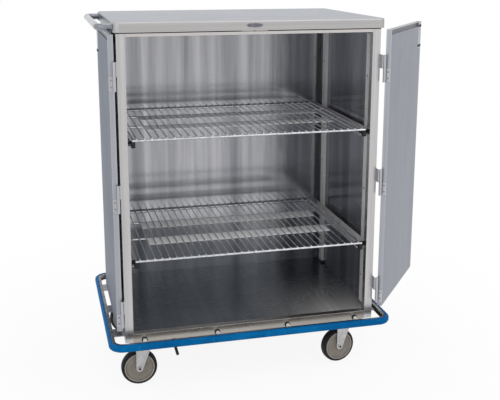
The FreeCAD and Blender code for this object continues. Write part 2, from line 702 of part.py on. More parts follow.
def build_bumper():
    strip = bumper_ring("stripOuter", 0, "stripHeight", 0, "stripRound")
    strip_hole = bumper_ring("stripInner", "stripThick", "stripHeight", "stripThick")
    sub_part("bumper_strip", cut("bumperStrip", strip, strip_hole))

    web_inset = "stripThick + railSheet"
    rail_inset = "stripThick + railThick"
    rail = bumper_ring("railOuter", "stripThick", "railHeight", "stripThick")
    rail_hole = bumper_ring("railInner", rail_inset, "railHeight", rail_inset)
    groove = bumper_ring("railGroove", web_inset, "railHeight - 2 * railSheet", web_inset)
    sub_part("bumper_rail", cut("bumperRail", rail, rail_hole, groove))

    standoffs = []
    end_standoff = f"({side} - standoffInset)"
    for sign in (-1, 1):
        for middle in (end_standoff, f"{end_standoff} / 3"):
            x = f"{sign} * {middle}"
            for name, start, end in (("front", f"-{rail_web_front}", front), ("back", back, rail_web_front)):
                length = f"{end} - ({start})"
                spot = (x, start, bumper_level)
                standoffs.append(rod(name + "Standoff", "standoffRadius", "y", spot, length))
    sub_part("bumper_standoffs", group("bumperStandoffs", standoffs))

    brackets = []
    for name, sign in SIDES:
        for middle in ("bracketInset - topDepth / 2", "0", "topDepth / 2 - bracketInset"):
            deep = about(middle, "bracketWidth")
            shelf_high = about(bumper_level, "bracketThick")
            tab_high = (shelf_high[0], f"{shelf_high[1]} + bracketTab")
            shelf = box(name + "BracketShelf", span(sign, side, rail_web_side), deep, shelf_high)
            tab = box(name + "BracketTab", span(sign, side, f"{side} + bracketThick"), deep, tab_high)
            brackets.append(fuse(name + "Bracket", shelf, tab))
    sub_part("bumper_brackets", group("bumperBrackets", brackets))


# Push handle: two legs, a grip and two quarter bends

def build_handle():
    cap_side = "(topWidth / 2)"
    level = f"({cap_low} + fasciaHeight / 2)"
    leg_front = "(handleFront - topDepth / 2)"
    leg_back = "(topDepth / 2 - handleBack)"
    flange_face = f"({cap_side} + flangeThick)"
    leg_length = "(handleOut - flangeThick - handleBend)"
    bend_side = f"({cap_side} + handleOut - handleBend)"
    pieces, flanges = [], []
    for name, middle, inward, start_angle in (("Front", leg_front, 1, 180), ("Back", leg_back, -1, 90)):
        leg_start = (f"-{bend_side}", middle, level)
        pieces.append(rod("handleLeg" + name, "handleRadius", "x", leg_start, leg_length))
        bend = doc.addObject("Part::Torus", "handleBend" + name)
        bend.Placement = Placement(Vector(), Rotation(UP, start_angle))
        bind(bend, {"Radius1": "handleBend", "Radius2": "handleRadius"})
        bend.Angle3 = 90
        pieces.append(place(bend, f"-{bend_side}", f"{middle} + {inward} * handleBend", level))
        flange_start = (f"-{flange_face}", middle, level)
        flanges.append(rod("handleFlange" + name, "flangeRadius", "x", flange_start, "flangeThick"))
    grip_start = (f"-({cap_side} + handleOut)", f"{leg_front} + handleBend", level)
    grip_length = f"{leg_back} - {leg_front} - 2 * handleBend"
    pieces.append(rod("handleGrip", "handleRadius", "y", grip_start, grip_length))
    sub_part("push_handle", fuse("pushHandle", *pieces))
    sub_part("handle_flanges", group("handleFlanges", flanges))


# Drain

def drain_middle():
    return "-drainSide", f"{frame_back} + drainBehind"


def build_drain():
    middle = drain_middle()
    flange_low = f"({floor_under} - drainFlangeThick)"
    flange = rod("drainFlangeDisc", "drainFlange", "z", (*middle, flange_low), "drainFlangeThick")
    nipple_low = f"({flange_low} - nippleLength)"
    nipple = rod("drainNipple", "nippleRadius", "z", (*middle, nipple_low), "nippleLength")
    bore = rod("drainBore", "nippleBore", "z", (*middle, nipple_low), "nippleLength + drainFlangeThick")
    sub_part("drain_fitting", cut("drainFitting", fuse("drainBody", flange, nipple), bore))

    knee = f"({flange_low} - spoutLength)"
    straight = rod("spoutStraight", "spoutRadius", "z", (*middle, knee), "spoutLength")
    bend = doc.addObject("Part::Sphere", "spoutKnee")
    place(bind(bend, {"Radius": "spoutRadius"}), *middle, knee)
    slanted = slanted_rod("spoutSlanted", "spoutRadius", (*middle, knee))
    seat = rod("spoutSeat", "nippleRadius + spoutPlay", "z", (*middle, nipple_low), "nippleLength")
    throat = rod("spoutThroat", "nippleBore", "z", (*middle, knee), "spoutLength")
    slanted_throat = slanted_rod("spoutSlantedThroat", "nippleBore", (*middle, knee))
    spout = fuse("spoutBody", straight, bend, slanted)
    sub_part("drain_spout", cut("drainSpout", spout, seat, throat, slanted_throat))


def slanted_rod(name, radius, start):
    obj = doc.addObject("Part::Cylinder", name)
    bind(obj, {"Radius": radius, "Height": "spoutTip"})
    turn(obj, Vector(0, 1, 0), "180 - spoutSlant")
    return place(obj, *start)


# Casters. Each piece is built once about its swivel axis and placed at the four corners.

def build_plate():
    low = "(casterHeight - plateThick)"
    sheet_box = box("plateSheet", about(0, "plateLength"), about(0, "plateWidth"), (low, "casterHeight"))
    boss_start = (0, 0, f"{low} - bossHeight")
    boss = rod("plateBoss", "bossRadius", "z", boss_start, "bossHeight")
    hole_length = "plateThick + bossHeight"
    holes = [rod("plateKingpinHole", "kingpinRadius + kingpinPlay", "z", boss_start, hole_length)]
    for x, y in plate_bolt_spots():
        holes.append(rod("plateBoltHole", "plateBoltRadius + plateBoltPlay", "z", (x, y, low), "plateThick"))
    return cut("casterPlate", fuse("plateBody", sheet_box, boss), *holes)


def plate_bolt_spots():
    return [
        (f"{i} * plateBoltAcross / 2", f"{j} * plateBoltDeep / 2")
        for i in (-1, 1)
        for j in (-1, 1)
    ]


def build_plate_bolts():
    low = "(casterHeight - plateThick)"
    bolts = []
    for x, y in plate_bolt_spots():
        head_start = (x, y, f"{low} - plateBoltHeadThick")
        head = hexagon("plateBoltHeadHex", "plateBoltHead", "z", head_start, "plateBoltHeadThick")
        shank = rod("plateBoltShank", "plateBoltRadius", "z", (x, y, low), "plateThick")
        bolts.append(fuse("plateBolt", head, shank))
    return group("plateBolts", bolts)


def build_kingpin():
    head_high = f"({crown_low} - swivelPlay)"
    head_start = (0, 0, f"{head_high} - kingpinHeadThick")
    head = hexagon("kingpinHex", "kingpinHead", "z", head_start, "kingpinHeadThick")
    shank = rod("kingpinShank", "kingpinRadius", "z", (0, 0, head_high), f"casterHeight - {head_high}")
    return fuse("kingpin", head, shank)


def build_fork():
    outer = "(forkGap / 2 + forkSheet)"
    pieces = [
        box("forkCrown", ("-forkBack", "forkFront"), (f"-{outer}", outer), (crown_low, crown_high)),
        rod("forkRace", "bossRadius", "z", (0, 0, crown_low), "crownThick"),
    ]
    holes = [rod("forkKingpinHole", "kingpinRadius + kingpinPlay", "z", (0, 0, crown_low), "crownThick")]
    for sign in (-1, 1):
        low, high = span(sign, "forkGap / 2", outer)
        leg = doc.addObject("Part::Wedge", "forkLeg")
        leg.Placement = Placement(Vector(), Rotation(Vector(1, 0, 0), 90))
        bind(leg, {"Ymin": 0, "Ymax": f"{crown_high} - wheelRadius"})
        bind(leg, {"Zmin": 0, "Zmax": "forkSheet", "Z2min": 0, "Z2max": "forkSheet"})
        bind(leg, {"Xmin": "-trail - legRadius", "Xmax": "legRadius - trail"})
        bind(leg, {"X2min": "-forkBack", "X2max": "forkFront"})
        pieces.append(place(leg, 0, high, "wheelRadius"))
        eye = ("-trail", low, "wheelRadius")
        pieces.append(rod("forkEye", "legRadius", "y", eye, "forkSheet"))
        holes.append(rod("forkAxleHole", "axleRadius + axlePlay", "y", eye, "forkSheet"))
    return cut("casterFork", fuse("forkBody", *pieces), *holes)


def build_axle():
    outer = "(forkGap / 2 + forkSheet)"
    shank = rod("axleShank", "axleRadius", "y", ("-trail", f"-{outer}", "wheelRadius"), f"2 * {outer}")
    ends = [
        hexagon("axleHex", "nutRadius", "y", ("-trail", start, "wheelRadius"), "nutThick")
        for start in (f"-{outer} - nutThick", outer)
    ]
    return fuse("casterAxle", shank, *ends)


def build_wheel():
    rim_outer = "(wheelRadius - tyreThick)"
    rim_inner = f"({rim_outer} - rimThick)"
    bore = "(axleRadius + axlePlay)"
    hub_half = "(forkGap / 2 - hubPlay)"
    upper = [
        (bore, hub_half), ("hubRadius", hub_half), ("hubRadius", "webThick / 2"),
        (rim_inner, "webThick / 2"), (rim_inner, "wheelWidth / 2"), (rim_outer, "wheelWidth / 2"),
    ]
    lower = [(radius, f"-({half})") for radius, half in reversed(upper)]
    return place(turned("casterWheel", upper + lower), "-trail", 0, "wheelRadius")


def build_tyre():
    inner, half = "(wheelRadius - tyreThick)", "wheelWidth / 2"
    points = [(inner, f"-{half}"), ("wheelRadius", f"-{half}"), ("wheelRadius", half), (inner, half)]
    tread = number_of("wheelRadius")
    tyre = turned("casterTyre", points, "tyreRound", lambda edge: is_ring(edge, tread))
    return place(tyre, "-trail", 0, "wheelRadius")


def is_ring(edge, radius):
    return isinstance(edge.Curve, Part.Circle) and abs(edge.Curve.Radius - radius) < 1e-6


def build_casters():
    fixed = {
        "caster_plates": build_plate(),
        "caster_bolts": build_plate_bolts(),
        "caster_kingpins": build_kingpin(),
    }
    moving = {"fork": build_fork(), "axle": build_axle(), "wheel": build_wheel(), "tyre": build_tyre()}
    corners = [
        ("front_left", -1, -1, 0), ("front_right", 1, -1, "frontRightYaw"),
        ("back_left", -1, 1, 0), ("back_right", 1, 1, 0),
    ]
    for label, master in fixed.items():
        copies = [
            place(group(label + corner, [master]), f"{i} * {caster_side}", f"{j} * {caster_front}")
            for corner, i, j, _ in corners
        ]
        sub_part(label, group(label + "Group", copies))
    for corner, i, j, yaw in corners:
        for piece, master in moving.items():
            copy = turn(group(corner + piece, [master]), UP, yaw)
            sub_part(f"{corner}_{piece}", place(copy, f"{i} * {caster_side}", f"{j} * {caster_front}"))


def check_all():
    doc.recompute()
    for obj in doc.Objects:
        if "Invalid" in obj.State or "Error" in obj.State:
            raise RuntimeError(f"{obj.Name} failed: {obj.State}")
    for obj in sub_parts:
        if obj.Shape.isNull() or not obj.Shape.isValid() or not obj.Shape.Solids:
            raise RuntimeError(f"{obj.Label} has no valid solid")


def write_all():
    os.makedirs("parts", exist_ok=True)
    for obj in sub_parts:
        obj.Shape.exportStep(f"parts/{obj.Label}.step")
        print(obj.Label, len(obj.Shape.Solids), round(obj.Shape.Volume))


build_top_cap()
build_keepers()
build_panels()
build_front_frame()
build_chassis()
build_pilasters()
build_runners()
build_shelves()
for door_name, door_sign in SIDES:
    build_door(door_name, door_sign)
build_fixed_hinges()
build_bumper()
build_handle()
build_drain()
build_casters()
check_all()
write_all()
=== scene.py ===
import json
import math

import bmesh
import bpy
from mathutils import Matrix, Vector


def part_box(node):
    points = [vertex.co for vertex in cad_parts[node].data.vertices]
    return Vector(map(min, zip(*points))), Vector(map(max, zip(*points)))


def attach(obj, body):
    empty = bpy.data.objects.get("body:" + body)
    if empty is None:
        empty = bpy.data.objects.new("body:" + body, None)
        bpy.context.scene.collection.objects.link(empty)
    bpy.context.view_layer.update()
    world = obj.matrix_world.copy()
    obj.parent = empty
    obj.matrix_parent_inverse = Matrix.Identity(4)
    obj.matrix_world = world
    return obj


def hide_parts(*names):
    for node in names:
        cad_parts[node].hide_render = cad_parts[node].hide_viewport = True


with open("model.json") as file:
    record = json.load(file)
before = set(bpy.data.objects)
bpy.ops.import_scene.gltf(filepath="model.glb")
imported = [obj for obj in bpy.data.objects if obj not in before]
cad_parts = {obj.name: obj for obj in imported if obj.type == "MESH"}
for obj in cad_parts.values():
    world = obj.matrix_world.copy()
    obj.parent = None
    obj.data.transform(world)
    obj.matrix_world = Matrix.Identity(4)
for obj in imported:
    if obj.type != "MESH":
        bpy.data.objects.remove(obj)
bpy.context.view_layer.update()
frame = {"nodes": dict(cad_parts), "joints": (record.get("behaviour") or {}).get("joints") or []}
nodes = frame["nodes"]
joints = {joint["name"]: joint for joint in frame["joints"]}
corners = ("front_left", "front_right", "back_left", "back_right")
print("frame loaded,", len(nodes), "nodes")


# Node helpers

def feed(tree, node, inputs):  # links what comes from a node, and sets what is a plain value
    for key, value in inputs.items():
        if isinstance(value, bpy.types.NodeSocket):
            tree.links.new(value, node.inputs[key])
        else:
            node.inputs[key].default_value = value


def addNode(tree, kind, inputs=None, **settings):
    node = tree.nodes.new(kind)
    for name, value in settings.items():
        setattr(node, name, value)
    feed(tree, node, inputs or {})
    return node


def mathNode(tree, operation, *values):
    return addNode(tree, "ShaderNodeMath", dict(enumerate(values)), operation=operation).outputs[0]


def vectorNode(tree, operation, *values):
    return addNode(tree, "ShaderNodeVectorMath", dict(enumerate(values)), operation=operation)


def remap(tree, value, fromLow, fromHigh, toLow=0.0, toHigh=1.0):
    ends = {"From Min": fromLow, "From Max": fromHigh, "To Min": toLow, "To Max": toHigh}
    return addNode(tree, "ShaderNodeMapRange", {"Value": value, **ends}).outputs[0]


def between(tree, mask, ends):  # from one value to the other as the mask goes from 0 to 1
    return remap(tree, mask, 0.0, 1.0, *ends)


def mixColors(tree, factor, first, second):
    return addNode(tree, "ShaderNodeMix", {0: factor, 6: first, 7: second}, data_type="RGBA").outputs[2]


def tint(tree, mask, share, under, over):  # part of one colour over another
    return mixColors(tree, mathNode(tree, "MULTIPLY", mask, share), under, over)


def noiseNode(tree, vector, scale, detail, distortion=0.0):
    inputs = {"Vector": vector, "Scale": scale, "Detail": detail, "Distortion": distortion}
    return addNode(tree, "ShaderNodeTexNoise", inputs).outputs[0]


def cloudNode(tree, vector, scale, detail, low, high):  # noise with its middle values spread out
    return remap(tree, noiseNode(tree, vector, scale, detail), low, high)


def picture(*levels):  # a colour as a picture shows it, 0 to 255
    return (*(((level / 255 + 0.055) / 1.055) ** 2.4 for level in levels), 1.0)


def tones(dark, light):
    return {"dark": picture(*dark), "light": picture(*light)}


# Shader groups: effects that several finishes share

bevelSamples = 4
grainSpan = (0.28, 0.72)
wipe = {"detail": 6.0, "distortion": 0.8, "softness": 0.35}
scratch = {"softness": 0.04, "directions": ((0.22, (1.0, 1.0, 0.025)), (-0.5, (0.03, 1.0, 1.0)))}
dustCloud = {"detail": 5.0, "span": (0.35, 0.75)}


def shaderGroup(name, inputs, outputs):
    tree = bpy.data.node_groups.new(name, "ShaderNodeTree")
    for label, kind, value in inputs:
        socket = tree.interface.new_socket(label, in_out="INPUT", socket_type="NodeSocket" + kind)
        socket.default_value = value
    for label in outputs:
        tree.interface.new_socket(label, in_out="OUTPUT", socket_type="NodeSocketFloat")
    return tree, tree.nodes.new("NodeGroupInput").outputs, tree.nodes.new("NodeGroupOutput").inputs


def groupOutputs(tree, group, inputs):
    return addNode(tree, "ShaderNodeGroup", inputs, node_tree=group).outputs


def makeBrushedGrain():  # fine sanding lines and the broad streaks along them
    tree, given, out = shaderGroup(
        "brushedGrain",
        [
            ("Vector", "Vector", (0, 0, 0)), ("Lines", "Vector", (900, 900, 9)),
            ("Streaks", "Vector", (30, 30, 1)),
        ],
        ["Grain", "Streak"],
    )
    for label, outlet, detail in (("Lines", "Grain", 2.0), ("Streaks", "Streak", 4.0)):
        spread = vectorNode(tree, "MULTIPLY", given["Vector"], given[label]).outputs[0]
        tree.links.new(cloudNode(tree, spread, 1.0, detail, *grainSpan), out[outlet])
    return tree


def makeWipeMarks():  # cloudy marks that wiping and hands leave
    tree, given, out = shaderGroup(
        "wipeMarks",
        [("Vector", "Vector", (0, 0, 0)), ("Scale", "Float", 5.0), ("Cover", "Float", 0.5)],
        ["Mask"],
    )
    cloud = noiseNode(tree, given["Vector"], given["Scale"], wipe["detail"], wipe["distortion"])
    start = mathNode(tree, "SUBTRACT", 1.0, given["Cover"])
    end = mathNode(tree, "ADD", start, wipe["softness"])
    tree.links.new(remap(tree, cloud, start, end), out["Mask"])
    return tree


def makeScratches():  # short straight scratches in two directions
    tree, given, out = shaderGroup(
        "scratches",
        [("Vector", "Vector", (0, 0, 0)), ("Scale", "Float", 320.0), ("Rarity", "Float", 0.72)],
        ["Mask"],
    )
    end = mathNode(tree, "ADD", given["Rarity"], scratch["softness"])
    lines = []
    for turn, stretch in scratch["directions"]:
        mapping = {"Vector": given["Vector"], "Rotation": (turn, turn, 0), "Scale": stretch}
        turned = addNode(tree, "ShaderNodeMapping", mapping).outputs[0]
        noise = noiseNode(tree, turned, given["Scale"], 0.0)
        lines.append(remap(tree, noise, given["Rarity"], end))
    tree.links.new(mathNode(tree, "MAXIMUM", *lines), out["Mask"])
    return tree


def makeEdgeWear():  # painted highlight: a mask along the lines where two faces meet, where edges catch light
    tree, given, out = shaderGroup("edgeWear", [("Radius", "Float", 0.002), ("Gain", "Float", 6.0)], ["Mask"])
    rounded = addNode(tree, "ShaderNodeBevel", {"Radius": given["Radius"]}, samples=bevelSamples).outputs[0]
    flat = addNode(tree, "ShaderNodeNewGeometry").outputs["Normal"]
    agreement = vectorNode(tree, "DOT_PRODUCT", rounded, flat).outputs["Value"]
    turned = mathNode(tree, "SUBTRACT", 1.0, agreement)
    mask = addNode(
        tree, "ShaderNodeMath", {0: turned, 1: given["Gain"]}, operation="MULTIPLY", use_clamp=True
    )
    tree.links.new(mask.outputs[0], out["Mask"])
    return tree


def makeFloorDust():  # dust that thins out with height above the floor
    tree, given, out = shaderGroup(
        "floorDust",
        [("Vector", "Vector", (0, 0, 0)), ("Height", "Float", 0.2), ("Scale", "Float", 60.0)],
        ["Mask"],
    )
    height = addNode(tree, "ShaderNodeSeparateXYZ", {0: given["Vector"]}).outputs["Z"]
    settled = remap(tree, height, 0.0, given["Height"], 1.0, 0.0)
    cloud = cloudNode(tree, given["Vector"], given["Scale"], dustCloud["detail"], *dustCloud["span"])
    tree.links.new(mathNode(tree, "MULTIPLY", settled, cloud), out["Mask"])
    return tree


brushedGrain = makeBrushedGrain()
wipeMarks = makeWipeMarks()
scratches = makeScratches()
edgeWear = makeEdgeWear()
floorDust = makeFloorDust()
print("shader groups made")


# Finishes

def newFinish(name):
    material = bpy.data.materials.new(name)
    material.use_nodes = True
    tree = material.node_tree
    place = addNode(tree, "ShaderNodeTexCoord").outputs["Object"]
    return material, tree, tree.nodes["Principled BSDF"], place


def brushed(tree, place, lines, streaks):
    return groupOutputs(tree, brushedGrain, {"Vector": place, "Lines": lines, "Streaks": streaks})


def maskOf(tree, group, *values):  # values in the order of the group's inputs
    return groupOutputs(tree, group, dict(enumerate(values)))["Mask"]


def bumpInto(tree, shader, height, strength, distance, rounding=None):
    bump = addNode(tree, "ShaderNodeBump", {"Height": height, "Strength": strength, "Distance": distance})
    if rounding:  # soft light along folded edges
        soft = addNode(tree, "ShaderNodeBevel", {"Radius": rounding}, samples=bevelSamples).outputs[0]
        tree.links.new(soft, bump.inputs["Normal"])
    tree.links.new(bump.outputs[0], shader.inputs["Normal"])


def noiseBump(tree, shader, place, scale, detail, strength, distance):
    bumpInto(tree, shader, noiseNode(tree, place, scale, detail), strength, distance)


grainUp = {"lines": (900, 900, 9), "streaks": (70, 70, 0.8)}  # sanded up and down
grainAcross = {"lines": (9, 900, 900), "streaks": (0.8, 70, 70)}  # sanded from side to side
grainDeep = {"lines": (900, 9, 900), "streaks": (90, 0.7, 90)}  # sanded from front to back
outerSheet = {**grainUp, **tones((163, 166, 173), (176, 179, 186)), "rough": (0.28, 0.38), "metal": 0.78}

steelLooks = {
    "frameSteel": {**grainUp, **tones((186, 184, 185), (207, 205, 205)), "rough": (0.24, 0.32)},
    "headerSteel": {**grainAcross, **tones((196, 191, 190), (212, 207, 205)), "rough": (0.24, 0.3)},
    "sillSteel": {**grainAcross, **tones((166, 161, 154), (192, 187, 180)), "rough": (0.26, 0.36)},
    "doorSteel": outerSheet,
    # painted shade: the left door's liner is painted darker and bluer than the right one's, with a darker
    # grazing tint, standing in for the shade on that side
    "leftLinerSteel": {
        **grainUp, **tones((142, 146, 155), (154, 158, 167)), "rough": (0.32, 0.42),
        "grazing": (0.44, 0.47, 0.52, 1.0),
    },
    "rightLinerSteel": {**grainUp, **tones((148, 151, 159), (159, 162, 170)), "rough": (0.32, 0.42)},
    # painted shade: the ceiling takes darker tones than the outer sheets, standing in for the shade inside
    # the cabinet
    "ceilingSteel": {
        **grainDeep, **tones((118, 120, 126), (148, 150, 156)), "rough": (0.26, 0.36), "metal": 0.75,
    },
    # painted shade: the floor pan takes darker tones than the outer sheets, standing in for the shade inside
    # the cabinet
    "floorSteel": {
        **grainDeep, **tones((92, 99, 104), (116, 121, 125)), "rough": (0.2, 0.28), "bump": 0.04,
        "worn": {  # painted light: paler, duller and less metallic at the front right, standing in for a pool of light falling there
            "wide": (0.02, 0.3), "deep": (0.12, -0.26), "streak": (0.75, 1.0), "tone": picture(212, 210, 207),
            "metal": (0.86, 0.4), "rough": 0.14,
        },
    },
    # painted light: pilasters and runners are painted near white and mostly non-metal, so they stay bright in
    # the cabinet's shade
    "innerSteel": {**grainUp, **tones((226, 224, 223), (246, 245, 244)), "rough": (0.2, 0.3), "metal": 0.35},
    "chassisSteel": {**grainAcross, **tones((132, 133, 138), (160, 161, 165)), "rough": (0.32, 0.44)},
    "railSteel": {**grainAcross, **tones((76, 75, 76), (158, 156, 154)), "rough": (0.2, 0.3)},
    "plateSteel": {**grainUp, **tones((92, 94, 100), (126, 128, 134)), "rough": (0.3, 0.42)},
    "hingeSteel": {**grainUp, **tones((170, 171, 176), (196, 196, 200)), "rough": (0.24, 0.34)},
    "channelSteel": {**grainAcross, **tones((92, 94, 100), (124, 126, 132)), "rough": (0.3, 0.4)},

    # two faces of one sheet, told apart by how far they lie from the middle of the cart; the panels' inner
    # faces are painted darker, standing in for the shade inside the cabinet
    "capSteel": {  # the folded front and back are painted warmer than the top, and the top bluer: a painted reflection tint on one sheet
        **grainAcross, **tones((176, 174, 174), (190, 188, 187)), "rough": (0.28, 0.36), "metal": 1.0,
        "inner": {
            **grainAcross, **tones((168, 171, 177), (179, 182, 188)), "rough": (0.3, 0.38), "metal": 1.0,
            "axis": "Y", "middle": (0.3148, 0.3),
        },
    },
    "leftPanelSteel": {
        **outerSheet,
        "inner": {
            **tones((126, 129, 136), (186, 188, 192)), "streaks": (22, 22, 0.7), "rough": (0.12, 0.19),
            "metal": 0.7, "axis": "X", "middle": (0.4471, 0.4469),
        },
    },
    # painted shade: the right panel's inner face is painted darkest, near navy
    "rightPanelSteel": {
        **outerSheet,
        "inner": {
            **tones((50, 55, 66), (152, 153, 158)), "streaks": (15, 15, 0.7), "rough": (0.08, 0.14),
            "metal": 0.7, "axis": "X", "middle": (0.4471, 0.4469),
        },
    },
    "backPanelSteel": {
        **outerSheet,
        "inner": {
            **tones((118, 120, 126), (198, 198, 201)), "streaks": (20, 20, 0.6), "rough": (0.1, 0.17),
            "metal": 0.8, "axis": "Y", "middle": (0.3041, 0.3039),
        },
    },
}
surface = {  # what every steel finish shares
    # painted highlight: the edge mask and the pale tone below lay a lighter line along every edge
    "wipe": (4.0, 0.52), "scratch": (320.0, 0.74), "scratchRough": 0.08, "wear": (0.0025, 4.0),
    "line": picture(120, 121, 124), "lineShare": 0.16, "edgeSheenTone": picture(226, 226, 228), "edgeSheenShare": 0.5,
    "grazing": (0.78, 0.79, 0.81, 1.0), "bump": 0.12, "bumpDepth": 0.0004, "rounding": 0.0012,
}


def steelFinish(name, look):
    material, tree, shader, place = newFinish(name)
    along = addNode(tree, "ShaderNodeSeparateXYZ", {0: place}).outputs
    grain = brushed(tree, place, look["lines"], look["streaks"])
    marks = maskOf(tree, wipeMarks, place, *surface["wipe"])
    stray = maskOf(tree, scratches, place, *surface["scratch"])
    wear = maskOf(tree, edgeWear, *surface["wear"])
    tone = mixColors(tree, grain["Streak"], look["dark"], look["light"])
    rough = between(tree, marks, look["rough"])
    metal = look.get("metal", 1.0)
    # painted shade and tint: the inner face takes its own tone, as the looks above set it
    if "inner" in look:
        inner = look["inner"]
        inside = remap(tree, mathNode(tree, "ABSOLUTE", along[inner["axis"]]), *inner["middle"])
        broad = brushed(tree, place, look["lines"], inner["streaks"])["Streak"]
        tone = mixColors(tree, inside, tone, mixColors(tree, broad, inner["dark"], inner["light"]))
        ends = {0: inside, 2: rough, 3: between(tree, marks, inner["rough"])}
        rough = addNode(tree, "ShaderNodeMix", ends, data_type="FLOAT").outputs[0]
        metal = between(tree, inside, (look["metal"], inner["metal"]))
    # painted light: mixes in the paler, less metallic patch where the look asks for one
    if "worn" in look:
        worn = look["worn"]
        reach = mathNode(
            tree, "MULTIPLY", remap(tree, along["X"], *worn["wide"]), remap(tree, along["Y"], *worn["deep"])
        )
        share = mathNode(tree, "MULTIPLY", reach, between(tree, grain["Streak"], worn["streak"]))
        tone = mixColors(tree, share, tone, worn["tone"])
        rough = mathNode(tree, "ADD", rough, mathNode(tree, "MULTIPLY", share, worn["rough"]))
        metal = between(tree, share, worn["metal"])
    lined = tint(tree, grain["Grain"], surface["lineShare"], tone, surface["line"])
    # painted highlight: a pale tone along the edges
    rubbed = tint(tree, wear, surface["edgeSheenShare"], lined, surface["edgeSheenTone"])
    rough = mathNode(tree, "ADD", rough, mathNode(tree, "MULTIPLY", stray, surface["scratchRough"]))
    feed(tree, shader, {
        "Base Color": rubbed, "Roughness": rough, "Metallic": metal,
        "Specular Tint": look.get("grazing", surface["grazing"]),
    })
    bump = look.get("bump", surface["bump"])
    bumpInto(tree, shader, grain["Grain"], bump, surface["bumpDepth"], surface["rounding"])
    return material


# painted highlight: near-white tones and little metal, so the straps and standoffs look brightly lit
strapLook = {
    **grainAcross, **tones((226, 227, 228), (246, 246, 246)), "rough": (0.32, 0.46), "metal": 0.12,
    "bump": (0.1, 0.0003),
}


def strapFinish(look):  # pickled flat straps and standoffs, duller than the wires and painted near white as a painted highlight for the light they catch
    material, tree, shader, place = newFinish("strapSatin")
    grain = brushed(tree, place, look["lines"], look["streaks"])
    tone = mixColors(tree, grain["Streak"], look["dark"], look["light"])
    rough = between(tree, grain["Grain"], look["rough"])
    feed(tree, shader, {"Base Color": tone, "Roughness": rough, "Metallic": look["metal"]})
    bumpInto(tree, shader, grain["Grain"], *look["bump"])
    return material


tubeLook = {
    "clean": picture(142, 145, 151), "marked": picture(120, 123, 129), "wipe": (14.0, 0.55),
    "scratch": (500.0, 0.72), "scratchRough": 0.1, "rough": (0.16, 0.28), "bump": (420.0, 2.0, 0.05, 0.0003),
}


def tubeFinish(look):  # polished tube, pins, latch bolts and screws
    material, tree, shader, place = newFinish("tubeBright")
    marks = maskOf(tree, wipeMarks, place, *look["wipe"])
    stray = maskOf(tree, scratches, place, *look["scratch"])
    tone = mixColors(tree, marks, look["clean"], look["marked"])
    scuff = mathNode(tree, "MULTIPLY", stray, look["scratchRough"])
    rough = mathNode(tree, "ADD", between(tree, marks, look["rough"]), scuff)
    feed(tree, shader, {"Base Color": tone, "Roughness": rough, "Metallic": 1.0})
    noiseBump(tree, shader, place, *look["bump"])
    return material


zincLook = {
    **tones((182, 182, 185), (202, 202, 205)), "cells": 260.0, "rough": (0.3, 0.4),
    "cloud": (75.0, 5.0, 0.35, 0.68), "stain": picture(160, 155, 151), "stainShare": 0.5,
    "dust": (0.16, 55.0), "dustTone": picture(150, 144, 136), "dustShare": 0.45, "metal": (0.95, 0.5),
    # painted highlight: the edge mask and the pale tone here lay a lighter line along the edges
    "wear": (0.002, 4.0), "edgeSheenTone": picture(236, 236, 238), "edgeSheenShare": 0.5, "bump": (500.0, 3.0, 0.1, 0.0003),
}
# painted shade: a near-black tone inside the drive socket
boltLook = {**zincLook, "socket": (0.0044, 0.0047), "socketShadeTone": picture(14, 14, 16)}


def zincFinish(name, look):  # plated caster steel with a faint spangle and dust
    material, tree, shader, place = newFinish(name)
    cells = addNode(tree, "ShaderNodeTexVoronoi", {"Vector": place, "Scale": look["cells"]}).outputs["Color"]
    spangle = addNode(tree, "ShaderNodeSeparateColor", {0: cells}).outputs[0]
    cloud = cloudNode(tree, place, *look["cloud"])
    dust = maskOf(tree, floorDust, place, *look["dust"])
    wear = maskOf(tree, edgeWear, *look["wear"])
    tone = mixColors(tree, spangle, look["dark"], look["light"])
    tone = tint(tree, cloud, look["stainShare"], tone, look["stain"])
    tone = tint(tree, dust, look["dustShare"], tone, look["dustTone"])
    # painted highlight: a pale tone along the edges
    tone = tint(tree, wear, look["edgeSheenShare"], tone, look["edgeSheenTone"])
    metal = between(tree, dust, look["metal"])
    if "socket" in look:  # painted shade: the inside of the drive socket at the bolt's middle is painted near black and not metal, for the shade in the recess
        away = addNode(tree, "ShaderNodeAttribute", attribute_name="radius").outputs["Fac"]
        plated = remap(tree, away, *look["socket"])
        tone = mixColors(tree, plated, look["socketShadeTone"], tone)
        metal = mathNode(tree, "MULTIPLY", metal, plated)
    rough = between(tree, spangle, look["rough"])
    feed(tree, shader, {"Base Color": tone, "Roughness": rough, "Metallic": metal})
    noiseBump(tree, shader, place, *look["bump"])
    return material


